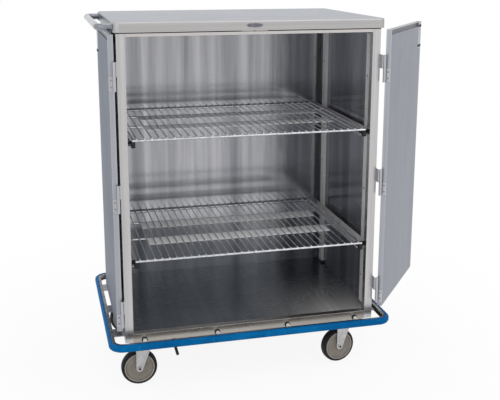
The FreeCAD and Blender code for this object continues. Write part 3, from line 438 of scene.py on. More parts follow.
cloudLooks = {
    "wireBright": {  # electropolished rod
        **tones((182, 184, 188), (222, 223, 226)), "cloud": (90.0, 4.0, 0.35, 0.7), "rough": (0.22, 0.14),
        "fixed": {"Metallic": 1.0}, "bump": (700.0, 2.0, 0.06, 0.0003),
    },
    "blueVinyl": {
        **tones((0, 82, 139), (0, 102, 160)), "cloud": (18.0, 5.0, 0.3, 0.7), "rough": (0.34, 0.48),
        "scratch": (260.0, 0.73), "scuff": picture(70, 150, 205), "scuffShare": 0.35,
        "dust": (0.205, 70.0), "dustTone": picture(150, 150, 146), "dustShare": 0.08,
        "fixed": {"Specular IOR Level": 0.03}, "bump": (900.0, 3.0, 0.15, 0.0003),
    },
    "blackPlastic": {
        **tones((18, 18, 20), (34, 34, 37)), "cloud": (120.0, 5.0, 0.3, 0.7), "rough": (0.42, 0.56),
        "fixed": {"Specular IOR Level": 0.3}, "bump": (1500.0, 3.0, 0.2, 0.0004),
    },
    "blackRubber": {
        **tones((20, 21, 23), (38, 38, 41)), "cloud": (80.0, 5.0, 0.3, 0.7), "rough": (0.55, 0.72),
        "dust": (0.2, 60.0), "dustTone": picture(120, 114, 106), "dustShare": 0.2,
        "fixed": {"Specular IOR Level": 0.25}, "bump": (900.0, 3.0, 0.25, 0.0004),
    },
    "tyreRubber": {
        **tones((18, 22, 27), (32, 36, 41)), "cloud": (70.0, 5.0, 0.3, 0.7), "rough": (0.48, 0.66),
        "dust": (0.13, 60.0), "dustTone": picture(120, 114, 106), "dustShare": 0.18,
        "fixed": {"Specular IOR Level": 0.14}, "bump": (800.0, 3.0, 0.25, 0.0004),
    },
}


def cloudFinish(name, look):  # tone and roughness drift together, under scuffs and dust
    material, tree, shader, place = newFinish(name)
    cloud = cloudNode(tree, place, *look["cloud"])
    tone = mixColors(tree, cloud, look["dark"], look["light"])
    if "scratch" in look:
        stray = maskOf(tree, scratches, place, *look["scratch"])
        tone = tint(tree, stray, look["scuffShare"], tone, look["scuff"])
    if "dust" in look:
        dust = maskOf(tree, floorDust, place, *look["dust"])
        tone = tint(tree, dust, look["dustShare"], tone, look["dustTone"])
    rough = between(tree, cloud, look["rough"])
    feed(tree, shader, {"Base Color": tone, "Roughness": rough, **look["fixed"]})
    noiseBump(tree, shader, place, *look["bump"])
    return material


wheelLook = {
    **tones((122, 116, 107), (140, 134, 125)), "cloud": (40.0, 5.0, 0.3, 0.7), "rough": (0.42, 0.58),
    "rings": 2600.0, "ringTone": picture(104, 98, 90), "ringShare": 0.2, "ringBump": 0.6,
    "rim": (0.0482, 0.0494), "rimTones": tones((150, 143, 134), (168, 161, 152)),
    "speck": (420.0, 3.0, 0.42, 0.66), "speckTone": picture(108, 101, 92), "speckShare": 0.2,
    "dust": (0.14, 50.0), "dustTone": picture(112, 104, 95), "dustShare": 0.25, "bump": (0.14, 0.0003),
}


def wheelFinish(look):  # warm grey moulded core with turned rings, paler on its rim
    material, tree, shader, place = newFinish("wheelCore")
    radius = addNode(tree, "ShaderNodeAttribute", attribute_name="radius").outputs["Fac"]
    rim = remap(tree, radius, *look["rim"])
    wave = mathNode(tree, "SINE", mathNode(tree, "MULTIPLY", radius, look["rings"]))
    rings = remap(tree, wave, -1.0, 1.0)
    cloud = cloudNode(tree, place, *look["cloud"])
    speck = cloudNode(tree, place, *look["speck"])
    dust = maskOf(tree, floorDust, place, *look["dust"])
    rimTones = look["rimTones"]
    tone = mixColors(tree, cloud, look["dark"], look["light"])
    tone = tint(tree, rings, look["ringShare"], tone, look["ringTone"])
    tone = mixColors(tree, rim, tone, mixColors(tree, cloud, rimTones["dark"], rimTones["light"]))
    tone = tint(tree, speck, look["speckShare"], tone, look["speckTone"])
    tone = tint(tree, dust, look["dustShare"], tone, look["dustTone"])
    feed(tree, shader, {"Base Color": tone, "Roughness": between(tree, cloud, look["rough"])})
    height = mathNode(tree, "ADD", speck, mathNode(tree, "MULTIPLY", rings, look["ringBump"]))
    bumpInto(tree, shader, height, *look["bump"])
    return material


steel = {name: steelFinish(name, look) for name, look in steelLooks.items()}
dark = {name: cloudFinish(name, look) for name, look in cloudLooks.items()}
wireBright, blueVinyl = dark.pop("wireBright"), dark.pop("blueVinyl")
strapSatin = strapFinish(strapLook)
tubeBright = tubeFinish(tubeLook)
zincPlate = zincFinish("zincPlate", zincLook)
boltPlate = zincFinish("boltPlate", boltLook)
wheelCore = wheelFinish(wheelLook)
print("finishes made")


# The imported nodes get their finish, and the folded sheets a small edge radius

finishNodes = (
    (steel["capSteel"], ["top_cap"]),
    (steel["leftPanelSteel"], ["side_panel_left"]),
    (steel["rightPanelSteel"], ["side_panel_right"]),
    (steel["backPanelSteel"], ["back_panel"]),
    (steel["ceilingSteel"], ["ceiling_panel"]),
    (steel["floorSteel"], ["floor_pan"]),
    (steel["frameSteel"], ["stile_left", "stile_right"]),
    (steel["headerSteel"], ["header_rail"]),
    (steel["sillSteel"], ["sill_rail"]),
    (steel["chassisSteel"], ["chassis_channels", "bumper_brackets"]),
    (steel["innerSteel"], ["pilasters", "upper_runners", "lower_runners"]),
    (steel["hingeSteel"], ["latch_keepers", "fixed_hinge_leaves"]),
    (steel["railSteel"], ["bumper_rail"]),
    # painted highlight: the standoffs take the near-white strap finish
    (strapSatin, ["bumper_standoffs"]),
    (blueVinyl, ["bumper_strip"]),
    (tubeBright, ["hinge_pins", "push_handle", "handle_flanges", "drain_fitting"]),
    (zincPlate, ["caster_plates", "caster_bolts", "caster_kingpins"]),
    (wireBright, ["upper_shelf", "lower_shelf"]),
    (dark["blackPlastic"], ["runner_stops"]),
    (dark["blackRubber"], ["drain_spout"]),
)
nodeFinish = {node: finish for finish, names in finishNodes for node in names}
for side in ("left", "right"):
    nodeFinish[f"{side}_door_pan"] = steel["doorSteel"]
    nodeFinish[f"{side}_door_liner"] = steel[f"{side}LinerSteel"]
    nodeFinish[f"{side}_latch_case"] = steel["hingeSteel"]
    nodeFinish[f"{side}_latch_plate"] = steel["plateSteel"]
    nodeFinish[f"{side}_latch_bolt"] = tubeBright
    nodeFinish[f"{side}_hinge_leaves"] = steel["hingeSteel"]
for corner in corners:
    nodeFinish[f"{corner}_fork"] = zincPlate
    nodeFinish[f"{corner}_axle"] = zincPlate
    nodeFinish[f"{corner}_wheel"] = wheelCore
    nodeFinish[f"{corner}_tyre"] = dark["tyreRubber"]

foldedSheets = {
    "nodes": (
        "back_panel", "side_panel_left", "side_panel_right", "ceiling_panel", "stile_left", "stile_right",
        "header_rail", "sill_rail", "chassis_channels", "bumper_brackets", "runner_stops", "left_latch_plate",
        "right_latch_plate",
    ),
    "merge": 1e-5, "width": 0.0006, "segments": 2, "angle": math.radians(40),
}


def dressNode(name, finish):
    node = nodes[name]
    node.data.materials.clear()
    node.data.materials.append(finish)
    if name in foldedSheets["nodes"]:  # small bend radius along the folds
        weld = node.modifiers.new("weld", "WELD")
        weld.merge_threshold = foldedSheets["merge"]
        fold = node.modifiers.new("folds", "BEVEL")
        fold.limit_method = "ANGLE"
        fold.angle_limit = foldedSheets["angle"]
        fold.width = foldedSheets["width"]
        fold.segments = foldedSheets["segments"]


for name, finish in nodeFinish.items():
    dressNode(name, finish)
print("nodes dressed", len(nodeFinish), "of", len(nodes))


# Building helpers

sharpAngle = math.radians(35)
spinMerge = 1e-6


def linkPiece(name, data):
    piece = bpy.data.objects.new(name, data)
    bpy.context.scene.collection.objects.link(piece)
    return piece


def fit(piece, body, slot, *stoodFor):
    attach(piece, body)
    if stoodFor:
        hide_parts(*stoodFor)


def growTree(name, inputs):
    tree = bpy.data.node_groups.new(name, "GeometryNodeTree")
    tree.interface.new_socket("Geometry", in_out="INPUT", socket_type="NodeSocketGeometry")
    for label, kind in inputs:
        tree.interface.new_socket(label, in_out="INPUT", socket_type="NodeSocket" + kind)
    tree.interface.new_socket("Geometry", in_out="OUTPUT", socket_type="NodeSocketGeometry")
    return tree, tree.nodes.new("NodeGroupInput").outputs


def geo(tree, kind, inputs=None, **settings):  # first output of a geometry node
    return addNode(tree, "GeometryNode" + kind, inputs, **settings).outputs[0]


def fillet(tree, curve, radius, steps):
    inputs = {"Curve": curve, "Radius": radius, "Limit Radius": True, "Count": steps}
    return geo(tree, "FilletCurve", inputs, mode="POLY")


def closeTree(tree, geometry, material):
    whole = geo(tree, "RealizeInstances", {0: geometry})
    painted = geo(tree, "SetMaterial", {"Geometry": whole, "Material": material})
    tree.links.new(painted, tree.nodes.new("NodeGroupOutput").inputs[0])


def growPiece(name, tree, seed, values):
    piece = linkPiece(name, seed)
    grow = piece.modifiers.new("grow", "NODES")
    grow.node_group = tree
    for item in tree.interface.items_tree:
        if item.in_out == "INPUT" and item.name in values:
            grow[item.identifier] = values[item.name]
    graph = bpy.context.evaluated_depsgraph_get()
    grown = bpy.data.meshes.new_from_object(piece.evaluated_get(graph))
    piece.modifiers.remove(grow)
    piece.data = grown
    grown.shade_smooth()
    grown.set_sharp_from_angle(angle=sharpAngle)
    return piece


def closeMesh(shape, name, finish, sharp=sharpAngle):
    mesh = bpy.data.meshes.new(name)
    shape.to_mesh(mesh)
    shape.free()
    mesh.materials.append(finish)
    mesh.shade_smooth()
    mesh.set_sharp_from_angle(angle=sharp)
    return mesh


def metres(outline):  # from millimetres
    return [(radius / 1000, along / 1000) for radius, along in outline]


def turnedMesh(name, outline, steps, place, finish):  # outline is (radius, along), turned about z
    shape = bmesh.new()
    spots = [shape.verts.new((radius, 0, along)) for radius, along in outline]
    edges = [
        shape.edges.new((spots[i - 1], spots[i]))
        for i in range(len(spots))
        if max(outline[i - 1][0], outline[i][0]) > 0
    ]
    bmesh.ops.spin(
        shape, geom=spots + edges, cent=(0, 0, 0), axis=(0, 0, 1), angle=math.tau, steps=steps, use_merge=True
    )
    bmesh.ops.remove_doubles(shape, verts=shape.verts, dist=spinMerge)
    bmesh.ops.recalc_face_normals(shape, faces=shape.faces)
    away = shape.verts.layers.float.new("radius")
    for vert in shape.verts:
        vert[away] = math.hypot(vert.co.x, vert.co.y)
    shape.transform(place)
    return closeMesh(shape, name, finish)


def barMesh(name, section, ends, place, finish):  # section is (deep, up), ends lie along x
    shape = bmesh.new()
    rows = [[shape.verts.new((wide, deep, up)) for deep, up in section] for wide in ends]
    for i in range(len(section)):
        shape.faces.new((rows[0][i - 1], rows[0][i], rows[1][i], rows[1][i - 1]))
    for row in rows:
        shape.faces.new(row)
    shape.transform(place)
    bmesh.ops.recalc_face_normals(shape, faces=shape.faces)
    return closeMesh(shape, name, finish)


# Wire shelves: deck wires, cross rods, bent side frames and flat straps

shelf = {
    "wires": 32, "span": 0.78, "wireLength": 0.584, "wireGauge": 0.0025, "wireSides": 10, "middle": 0.003,
    "halfWidth": 0.405, "rodGauge": 0.004, "rodSides": 12, "rodDrop": 0.0057,
    "rods": (-0.286, -0.052, 0.14, 0.292),
    "sideMiddle": 0.4005, "sideGauge": 0.003, "sideDrop": 0.025, "bend": 0.008, "bendSteps": 5,
    "strapHalf": 0.34, "strapWidth": 0.074, "strapThick": 0.002, "strapDrop": 0.0027, "strapGap": 0.041,
    "strapEase": 0.0008, "easeSteps": 3,
}


def makeShelfTree():
    tree, given = growTree("shelfDeck", [
        ("Wire Count", "Int"), ("Wire Start", "Vector"), ("Wire Step", "Vector"),
        ("Wire Length", "Float"), ("Wire Gauge", "Float"), ("Bend", "Float"), ("Material", "Material"),
    ])
    row = geo(tree, "MeshLine", {
        "Count": given["Wire Count"], "Start Location": given["Wire Start"], "Offset": given["Wire Step"],
    })
    half = mathNode(tree, "MULTIPLY", given["Wire Length"], 0.5)
    front = addNode(tree, "ShaderNodeCombineXYZ", {1: mathNode(tree, "MULTIPLY", half, -1.0)}).outputs[0]
    back = addNode(tree, "ShaderNodeCombineXYZ", {1: half}).outputs[0]
    wire = geo(tree, "CurvePrimitiveLine", {"Start": front, "End": back})
    laid = geo(tree, "InstanceOnPoints", {"Points": row, "Instance": wire})
    wires = geo(tree, "RealizeInstances", {0: laid})
    wireSize = {"Resolution": shelf["wireSides"], "Radius": given["Wire Gauge"]}
    wireRound = geo(tree, "CurvePrimitiveCircle", wireSize)
    wireMesh = geo(tree, "CurveToMesh", {"Curve": wires, "Profile Curve": wireRound, "Fill Caps": True})

    # the seed's edges are the cross rods and the side frames, each with its gauge
    gauge = geo(tree, "InputNamedAttribute", {"Name": "gauge"}, data_type="FLOAT")
    bent = fillet(tree, geo(tree, "MeshToCurve", {0: given["Geometry"]}), given["Bend"], shelf["bendSteps"])
    rodRound = geo(tree, "CurvePrimitiveCircle", {"Resolution": shelf["rodSides"], "Radius": 1.0})
    rodMesh = geo(tree, "CurveToMesh", {
        "Curve": bent, "Profile Curve": rodRound, "Scale": gauge, "Fill Caps": True,
    })
    whole = tree.nodes.new("GeometryNodeJoinGeometry")
    for part in (rodMesh, wireMesh):
        tree.links.new(part, whole.inputs[0])
    closeTree(tree, whole.outputs[0], given["Material"])
    return tree


def makeStrapTree():
    tree, given = growTree("shelfStraps", [
        ("Width", "Float"), ("Thickness", "Float"), ("Ease", "Float"), ("Material", "Material"),
    ])
    path = geo(tree, "MeshToCurve", {0: given["Geometry"]})
    flat = geo(tree, "CurvePrimitiveQuadrilateral", {"Width": given["Width"], "Height": given["Thickness"]})
    eased = fillet(tree, flat, given["Ease"], shelf["easeSteps"])
    swept = geo(tree, "CurveToMesh", {"Curve": path, "Profile Curve": eased, "Fill Caps": True})
    closeTree(tree, swept, given["Material"])
    return tree


def pathMesh(name, paths):  # edges along each path, with the gauge of its rod
    points, edges, gauges = [], [], []
    for path, gauge, closed in paths:
        start = len(points)
        points.extend(path)
        gauges.extend([gauge] * len(path))
        edges.extend((start + i, start + i + 1) for i in range(len(path) - 1))
        if closed:
            edges.append((start + len(path) - 1, start))
    mesh = bpy.data.meshes.new(name)
    mesh.from_pydata(points, edges, [])
    mesh.attributes.new("gauge", "FLOAT", "POINT").data.foreach_set("value", gauges)
    return mesh


def levelPath(half, deep, rise):
    return [(-half, deep, rise), (half, deep, rise)]


def wireLevel(name):  # middle of the deck wires
    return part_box(f"{name}_shelf")[1].z - shelf["wireGauge"]


def shelfPaths(level):
    rodLevel, frameLow, strapLevel = (level - shelf[drop] for drop in ("rodDrop", "sideDrop", "strapDrop"))
    front, *middles, back = shelf["rods"]
    rods = [levelPath(shelf["halfWidth"], rod, rodLevel) for rod in shelf["rods"]]
    paths = [(rod, shelf["rodGauge"], False) for rod in rods]
    for side in (-shelf["sideMiddle"], shelf["sideMiddle"]):
        loop = [(side, front, rodLevel), (side, back, rodLevel)]
        loop += [(side, back, frameLow), (side, front, frameLow)]
        paths.append((loop, shelf["sideGauge"], True))
    straps = [levelPath(shelf["strapHalf"], rod - shelf["strapGap"], strapLevel) for rod in middles]
    return paths, [(strap, 1.0, False) for strap in straps]


shelfTree = makeShelfTree()
strapTree = makeStrapTree()
for name in ("upper", "lower"):
    deckLevel = wireLevel(name)
    wireStep = shelf["span"] / (shelf["wires"] - 1)
    paths, straps = shelfPaths(deckLevel)
    deck = growPiece(f"{name}ShelfDeck", shelfTree, pathMesh("deckPaths", paths), {
        "Wire Count": shelf["wires"], "Wire Start": (-shelf["span"] / 2, shelf["middle"], deckLevel),
        "Wire Step": (wireStep, 0.0, 0.0), "Wire Length": shelf["wireLength"],
        "Wire Gauge": shelf["wireGauge"], "Bend": shelf["bend"], "Material": wireBright,
    })
    fit(deck, f"{name}_shelf", "shelf_wire", f"{name}_shelf")
    flats = growPiece(f"{name}ShelfStraps", strapTree, pathMesh("strapPaths", straps), {
        "Width": shelf["strapWidth"], "Thickness": shelf["strapThick"], "Ease": shelf["strapEase"],
        "Material": strapSatin,
    })
    fit(flats, f"{name}_shelf", "shelf_wire")
print("shelf decks grown")


# Casters: tyre, moulded core and axle turned about the axle's line, in millimetres

wheel = {
    "steps": 72,
    "tyreSide": [
        (53.0, 15.4), (54.2, 16.0), (55.4, 15.2), (56.4, 15.9), (57.5, 15.8), (59.8, 14.6), (61.7, 12.3),
        (62.9, 9.0), (63.4, 5.0),
    ],
    "tyreCrown": [(63.5, 0.0)],
    "coreSide": [
        (5.05, 17.4), (13.6, 17.4), (14.8, 16.9), (15.4, 15.8), (15.9, 13.4), (17.2, 12.4), (20.0, 12.1),
        (27.0, 11.8), (28.0, 11.0), (29.6, 11.0), (30.6, 11.8), (38.0, 12.2), (45.8, 12.7), (46.8, 11.9),
        (47.6, 11.9), (48.6, 14.7), (49.6, 15.7), (51.6, 16.0), (53.0, 15.3),
    ],
    "axleSide": [
        (0.0, 24.0), (4.4, 24.0), (4.7, 26.1), (5.5, 26.5), (6.4, 26.1), (7.0, 25.0), (7.1, 22.9),
        (8.8, 22.8), (9.0, 22.4), (9.0, 21.6), (4.95, 21.5),
    ],
}


def mirroredOutline(half, crown=()):
    ahead = metres(half)
    return ahead + metres(crown) + [(radius, -along) for radius, along in reversed(ahead)]


tyreOutline = mirroredOutline(wheel["tyreSide"], wheel["tyreCrown"])
turnedParts = {  # outline, finish, body, slot and the node it stands for
    "tyre": (tyreOutline, dark["tyreRubber"], "roller", "wheel_tyre", "tyre"),
    "core": (mirroredOutline(wheel["coreSide"]), wheelCore, "roller", "wheel_core", "wheel"),
    "axle": (mirroredOutline(wheel["axleSide"]), boltPlate, "caster", "bright_steel", "axle"),
}
for corner in corners:
    spin = joints[f"{corner}_spin"]
    turn = Vector(spin["axis"]).to_track_quat("Z", "Y").to_matrix().to_4x4()
    place = Matrix.Translation(spin["pos_m"]) @ turn
    for part, (outline, finish, body, slot, node) in turnedParts.items():
        mesh = turnedMesh(f"{corner}{part.title()}Turned", outline, wheel["steps"], place, finish)
        fit(linkPiece(f"{corner}_{part}_turned", mesh), f"{corner}_{body}", slot, f"{corner}_{node}")
print("wheels turned")


# Bumper: a soft D section swept round the base

bumper = {
    "thick": 0.0125, "height": 0.0254, "round": 0.010, "roundSteps": 8, "lip": 0.0012,
    "corner": 0.050, "cornerSteps": 16,
}


def makeBumperTree():
    tree, given = growTree(
        "bumperSweep", [("Profile", "Object"), ("Corner", "Float"), ("Material", "Material")]
    )
    path = geo(tree, "MeshToCurve", {0: given["Geometry"]})
    bent = fillet(tree, path, given["Corner"], bumper["cornerSteps"])
    shape = addNode(tree, "GeometryNodeObjectInfo", {"Object": given["Profile"]}).outputs["Geometry"]
    profile = geo(tree, "MeshToCurve", {0: shape})
    swept = geo(tree, "CurveToMesh", {"Curve": bent, "Profile Curve": profile})
    closeTree(tree, swept, given["Material"])
    return tree


def bumperSection():  # x is outwards and y is up, as the sweep lays them
    half, thick, radius = bumper["height"] / 2, bumper["thick"], bumper["round"]
    side = [(0.0, half - bumper["lip"]), (bumper["lip"], half)]
    for i in range(bumper["roundSteps"] + 1):
        angle = math.pi / 2 * i / bumper["roundSteps"]
        up = half - radius + radius * math.cos(angle)
        out = thick - radius + radius * math.sin(angle)
        side.append((out, up))
    points = [(out, up, 0.0) for out, up in side] + [(out, -up, 0.0) for out, up in reversed(side)]
    mesh = bpy.data.meshes.new("bumperSection")
    mesh.from_pydata(points, [(i - 1, i) for i in range(1, len(points))] + [(len(points) - 1, 0)], [])
    return linkPiece("bumperSection", mesh)


def bumperRing():  # the line where the vinyl meets its rail
    low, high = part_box("bumper_strip")
    wide, deep = high.x - bumper["thick"], high.y - bumper["thick"]
    middle = (low.z + high.z) / 2
    ring = [(-wide, -deep, middle), (wide, -deep, middle), (wide, deep, middle), (-wide, deep, middle)]
    mesh = bpy.data.meshes.new("bumperRing")
    mesh.from_pydata(ring, [(0, 1), (1, 2), (2, 3), (3, 0)], [])
    return mesh


section = bumperSection()
strip = growPiece("bumperVinyl", makeBumperTree(), bumperRing(), {
    "Profile": section, "Corner": bumper["corner"] - bumper["thick"], "Material": blueVinyl,
})
bpy.data.objects.remove(section)
fit(strip, "cabinet", "blue_vinyl", "bumper_strip")
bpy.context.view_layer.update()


# Screws and studs, set out point by point with the way each one faces

screw = {
    "head": [
        (0.0, 1.9), (0.9, 1.86), (1.0, 1.0), (1.9, 1.0), (2.0, 1.75), (3.1, 1.35), (3.8, 0.6), (3.9, -0.4),
        (0.0, -0.4),
    ],
    "steps": 12,
    "hingeDeep": -0.284, "hingeRise": (0.012, 0.036), "hingeFace": 0.4505,
    "tabFace": 0.452, "tabRise": 0.212, "tabSpread": 0.018, "tabs": (-0.217, 0.0, 0.217),
    "pilasterFace": 0.434, "pilasterDeep": (-0.218, 0.245), "pilasterRise": (0.33, 0.66, 1.07),
    "hinges": (0.303, 0.7045, 1.106),
}
door = {
    "pin": (0.457, -0.3135), "opening": {"left": 270, "right": 232}, "thick": 0.018, "bolt": 0.4335,
    "edgeFlat": 0.0075, "leafDeep": 0.0118, "leafRise": (-0.034, -0.012), "screwScale": 0.75,
    "caseSpread": 0.013, "caseRise": (1.147, 1.2225), "studScale": 1.4,
    "plateRise": (1.147, 1.228), "plateSpread": 0.011, "plateFace": -0.002,
}


def makeScrewTree():
    tree, given = growTree("screwRows", [("Head", "Object"), ("Scale", "Float"), ("Material", "Material")])
    facing = geo(tree, "InputNamedAttribute", {"Name": "facing"}, data_type="FLOAT_VECTOR")
    turned = addNode(tree, "FunctionNodeAlignRotationToVector", {"Vector": facing}, axis="Z").outputs[0]
    head = addNode(tree, "GeometryNodeObjectInfo", {"Object": given["Head"]}).outputs["Geometry"]
    placed = geo(tree, "InstanceOnPoints", {
        "Points": given["Geometry"], "Instance": head, "Rotation": turned, "Scale": given["Scale"],
    })
    closeTree(tree, placed, given["Material"])
    return tree


def screwSeed(spots):
    seed = bpy.data.meshes.new("screwSpots")
    seed.from_pydata([place for place, _ in spots], [], [])
    values = [number for _, facing in spots for number in facing]
    seed.attributes.new("facing", "FLOAT_VECTOR", "POINT").data.foreach_set("vector", values)
    return seed


def doorFrame(side):  # from the closed door's own directions to where it stands
    sign = -1 if side == "left" else 1
    turn = Matrix.Rotation(math.radians(-sign * (360 - door["opening"][side])), 4, "Z")
    return Matrix.Translation((sign * door["pin"][0], door["pin"][1], 0)) @ turn, -sign


def doorSpots(side, rows):
    stand, across = doorFrame(side)
    turn = stand.to_3x3()
    return [
        (stand @ Vector((across * wide, deep, up)), turn @ Vector((across * facing[0], facing[1], facing[2])))
        for wide, deep, up, facing in rows
    ]


def pairRows(spread, deep, rises, facing):  # two in a row on either side of the latch bolt
    return [(door["bolt"] + offset, deep, rise, facing) for rise in rises for offset in (-spread, spread)]


screwTree = makeScrewTree()
screwHead = linkPiece("screwHead", turnedMesh(
    "screwHead", metres(screw["head"]), screw["steps"], Matrix(), tubeBright
))
cabinetSpots = []
for sign in (-1, 1):
    facing = (sign, 0.0, 0.0)
    for hinge in screw["hinges"]:
        for rise in screw["hingeRise"]:
            cabinetSpots.append(((sign * screw["hingeFace"], screw["hingeDeep"], hinge + rise), facing))
    for tab in screw["tabs"]:
        for spread in (-screw["tabSpread"], screw["tabSpread"]):
            cabinetSpots.append(((sign * screw["tabFace"], tab + spread, screw["tabRise"]), facing))
    for deep in screw["pilasterDeep"]:
        for rise in screw["pilasterRise"]:
            cabinetSpots.append(((sign * screw["pilasterFace"], deep, rise), (-sign, 0.0, 0.0)))
steelValues = {"Head": screwHead, "Scale": 1.0, "Material": tubeBright}
doorValues = {**steelValues, "Scale": door["screwScale"]}
studValues = {"Head": screwHead, "Scale": door["studScale"], "Material": dark["blackPlastic"]}
fit(growPiece("cabinetScrews", screwTree, screwSeed(cabinetSpots), steelValues), "cabinet", "bright_steel")
for side in ("left", "right"):
    rows = [
        (door["edgeFlat"], door["leafDeep"], hinge + rise, (-1.0, 0.0, 0.0))
        for hinge in screw["hinges"]
        for rise in door["leafRise"]
    ]
    rows += pairRows(door["plateSpread"], door["plateFace"], door["plateRise"], (0.0, -1.0, 0.0))
    piece = growPiece(f"{side}DoorScrews", screwTree, screwSeed(doorSpots(side, rows)), doorValues)
    fit(piece, f"{side}_door", "bright_steel")
    studs = pairRows(door["caseSpread"], door["thick"], door["caseRise"], (0.0, 1.0, 0.0))
    piece = growPiece(f"{side}CaseStuds", screwTree, screwSeed(doorSpots(side, studs)), studValues)
    fit(piece, f"{side}_door", "black_plastic")
bpy.data.objects.remove(screwHead)
print("screws set")


# Black rubber collars where the bumper's standoffs meet the sill and the back, standing in for the shade
# around the standoffs: painted shade

collar = {
    "ring": [(7.05, 5.0), (9.0, 5.0), (9.8, 4.3), (10.0, 3.2), (10.0, 0.0), (7.05, 0.0)], "steps": 24,
    "spread": (-0.3825, -0.1275, 0.1275, 0.3825), "rise": 0.196, "front": -0.294, "back": 0.305,
}
collarRing = linkPiece("collarRing", turnedMesh(
    "collarRing", metres(collar["ring"]), collar["steps"], Matrix(), dark["blackRubber"]
))
collarSpots = []
for wide in collar["spread"]:
    collarSpots.append(((wide, collar["front"], collar["rise"]), (0.0, -1.0, 0.0)))
    collarSpots.append(((wide, collar["back"], collar["rise"]), (0.0, 1.0, 0.0)))
fit(growPiece("standoffCollars", screwTree, screwSeed(collarSpots), {
    "Head": collarRing, "Scale": 1.0, "Material": dark["blackRubber"],
}), "cabinet", "black_rubber")
bpy.data.objects.remove(collarRing)
print("collars set")


# Black rubber bead under the top cap, standing in for the shadow of the gap there as a painted shadow, and
# the channel that closes each door's top

bead = {"height": 0.0048, "proud": 0.0015, "gap": 0.0001, "steps": 8}
channel = {"wide": (0.0125, 0.4135), "deep": (0.0118, 0.0164), "up": (1.2195, 1.2362), "sheet": 0.0012}


def beadSection():
    face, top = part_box("header_rail")[0].y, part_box("top_cap")[0].z - bead["gap"]
    half = bead["height"] / 2
    angles = [math.pi * i / bead["steps"] for i in range(bead["steps"] + 1)]
    return [(face - bead["proud"] * math.sin(angle), top - half + half * math.cos(angle)) for angle in angles]


def channelSection():
    near, far = channel["deep"]
    low, high = channel["up"]
    sheet = channel["sheet"]
    return [
        (near, low), (far, low), (far, low + sheet), (near + sheet, low + sheet),
        (near + sheet, high - sheet), (far, high - sheet), (far, high), (near, high),
    ]


beadEnds = (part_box("stile_left")[0].x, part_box("stile_right")[1].x)
# painted shadow: a black strip along the underside of the cap's front
fit(linkPiece("capBead", barMesh(
    "capBead", beadSection(), beadEnds, Matrix(), dark["blackRubber"]
)), "cabinet", "black_rubber")
for side in ("left", "right"):
    stand, across = doorFrame(side)
    ends = [across * wide for wide in channel["wide"]]
    fit(linkPiece(f"{side}DoorChannel", barMesh(
        f"{side}DoorChannel", channelSection(), ends, stand, steel["channelSteel"]
    )), f"{side}_door", "stainless")
print("bead and door channels set")


# Black corner clips under the shelves' front corners

clip = {
    "side": (0.3945, 0.4085), "deep": (-0.2895, -0.2700), "rise": (-0.0300, -0.0090), "slope": -0.2780,
    "round": 0.003, "roundSteps": 3,
}


def clipShape(sign, level):
    shape = bmesh.new()
    bmesh.ops.create_cube(shape, size=1.0)
    sides = sorted(sign * wide for wide in clip["side"])
    ends = (sides, clip["deep"], [level + rise for rise in clip["rise"]])
    for vert in shape.verts:
        low, behind = vert.co.z < 0, vert.co.y > 0
        for axis in range(3):
            vert.co[axis] = ends[axis][0] if vert.co[axis] < 0 else ends[axis][1]
        if low and behind:  # the back slants up to the side rod
            vert.co.y = clip["slope"]
    bmesh.ops.bevel(
        shape, geom=list(shape.edges), offset=clip["round"], segments=clip["roundSteps"], affect="EDGES",
        profile=0.5,
    )
    bmesh.ops.recalc_face_normals(shape, faces=shape.faces)
    return shape


for name in ("upper", "lower"):
    joined = bmesh.new()
    for sign in (-1, 1):
        half = clipShape(sign, wireLevel(name))
        halfMesh = bpy.data.meshes.new("clipHalf")
        half.to_mesh(halfMesh)
        half.free()
        joined.from_mesh(halfMesh)
        bpy.data.meshes.remove(halfMesh)
    mesh = closeMesh(joined, f"{name}ShelfClips", dark["blackPlastic"])
    fit(linkPiece(f"{name}ShelfClips", mesh), f"{name}_shelf", "black_plastic")
print("shelf clips made")


# Blank oval plate in the middle of the top cap's front

oval = {
    "half": (0.028, 0.008), "rise": 1.2605, "steps": 48, "sharp": math.radians(30),
    "rings": (  # share of the half height, and how far it stands out
        (1.0, -0.0004), (1.0, 0.00078), (0.95, 0.0013), (0.86, 0.0013), (0.82, 0.0007), (0.45, 0.0009),
    ),
}


def ovalMesh():
    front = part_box("top_cap")[0].y
    halfWide, halfHigh = oval["half"]
    angles = [math.tau * i / oval["steps"] for i in range(oval["steps"])]
    shape = bmesh.new()
    rows = []
    for share, out in oval["rings"]:
        inset = (1 - share) * halfHigh
        rows.append([
            shape.verts.new((
                (halfWide - inset) * math.cos(angle), front - out,
                oval["rise"] + (halfHigh - inset) * math.sin(angle),
            ))
            for angle in angles
        ])
    for first, second in zip(rows, rows[1:]):
        for i in range(oval["steps"]):
            shape.faces.new((first[i - 1], first[i], second[i], second[i - 1]))
    shape.faces.new(rows[0])
    shape.faces.new(rows[-1])
    bmesh.ops.recalc_face_normals(shape, faces=shape.faces)
    return closeMesh(shape, "ovalPlate", steel["plateSteel"], oval["sharp"])


fit(linkPiece("ovalPlate", ovalMesh()), "cabinet", "dark_metal")
print("oval plate set")


# Stage: floor, world, lamps and camera

white = (1.0, 1.0, 1.0, 1.0)
studio = {"floorSize": 12.0, "floorTone": 0.82, "floorWhite": 0.9, "fade": (0.8, 1.8), "ambient": 0.95}


def whiteWhereSeen(tree):  # 1 for the rays that should meet plain white
    path = addNode(tree, "ShaderNodeLightPath").outputs
    seen = mathNode(tree, "MAXIMUM", path["Is Camera Ray"], path["Is Glossy Ray"])
    return mathNode(tree, "MAXIMUM", seen, path["Is Transmission Ray"])


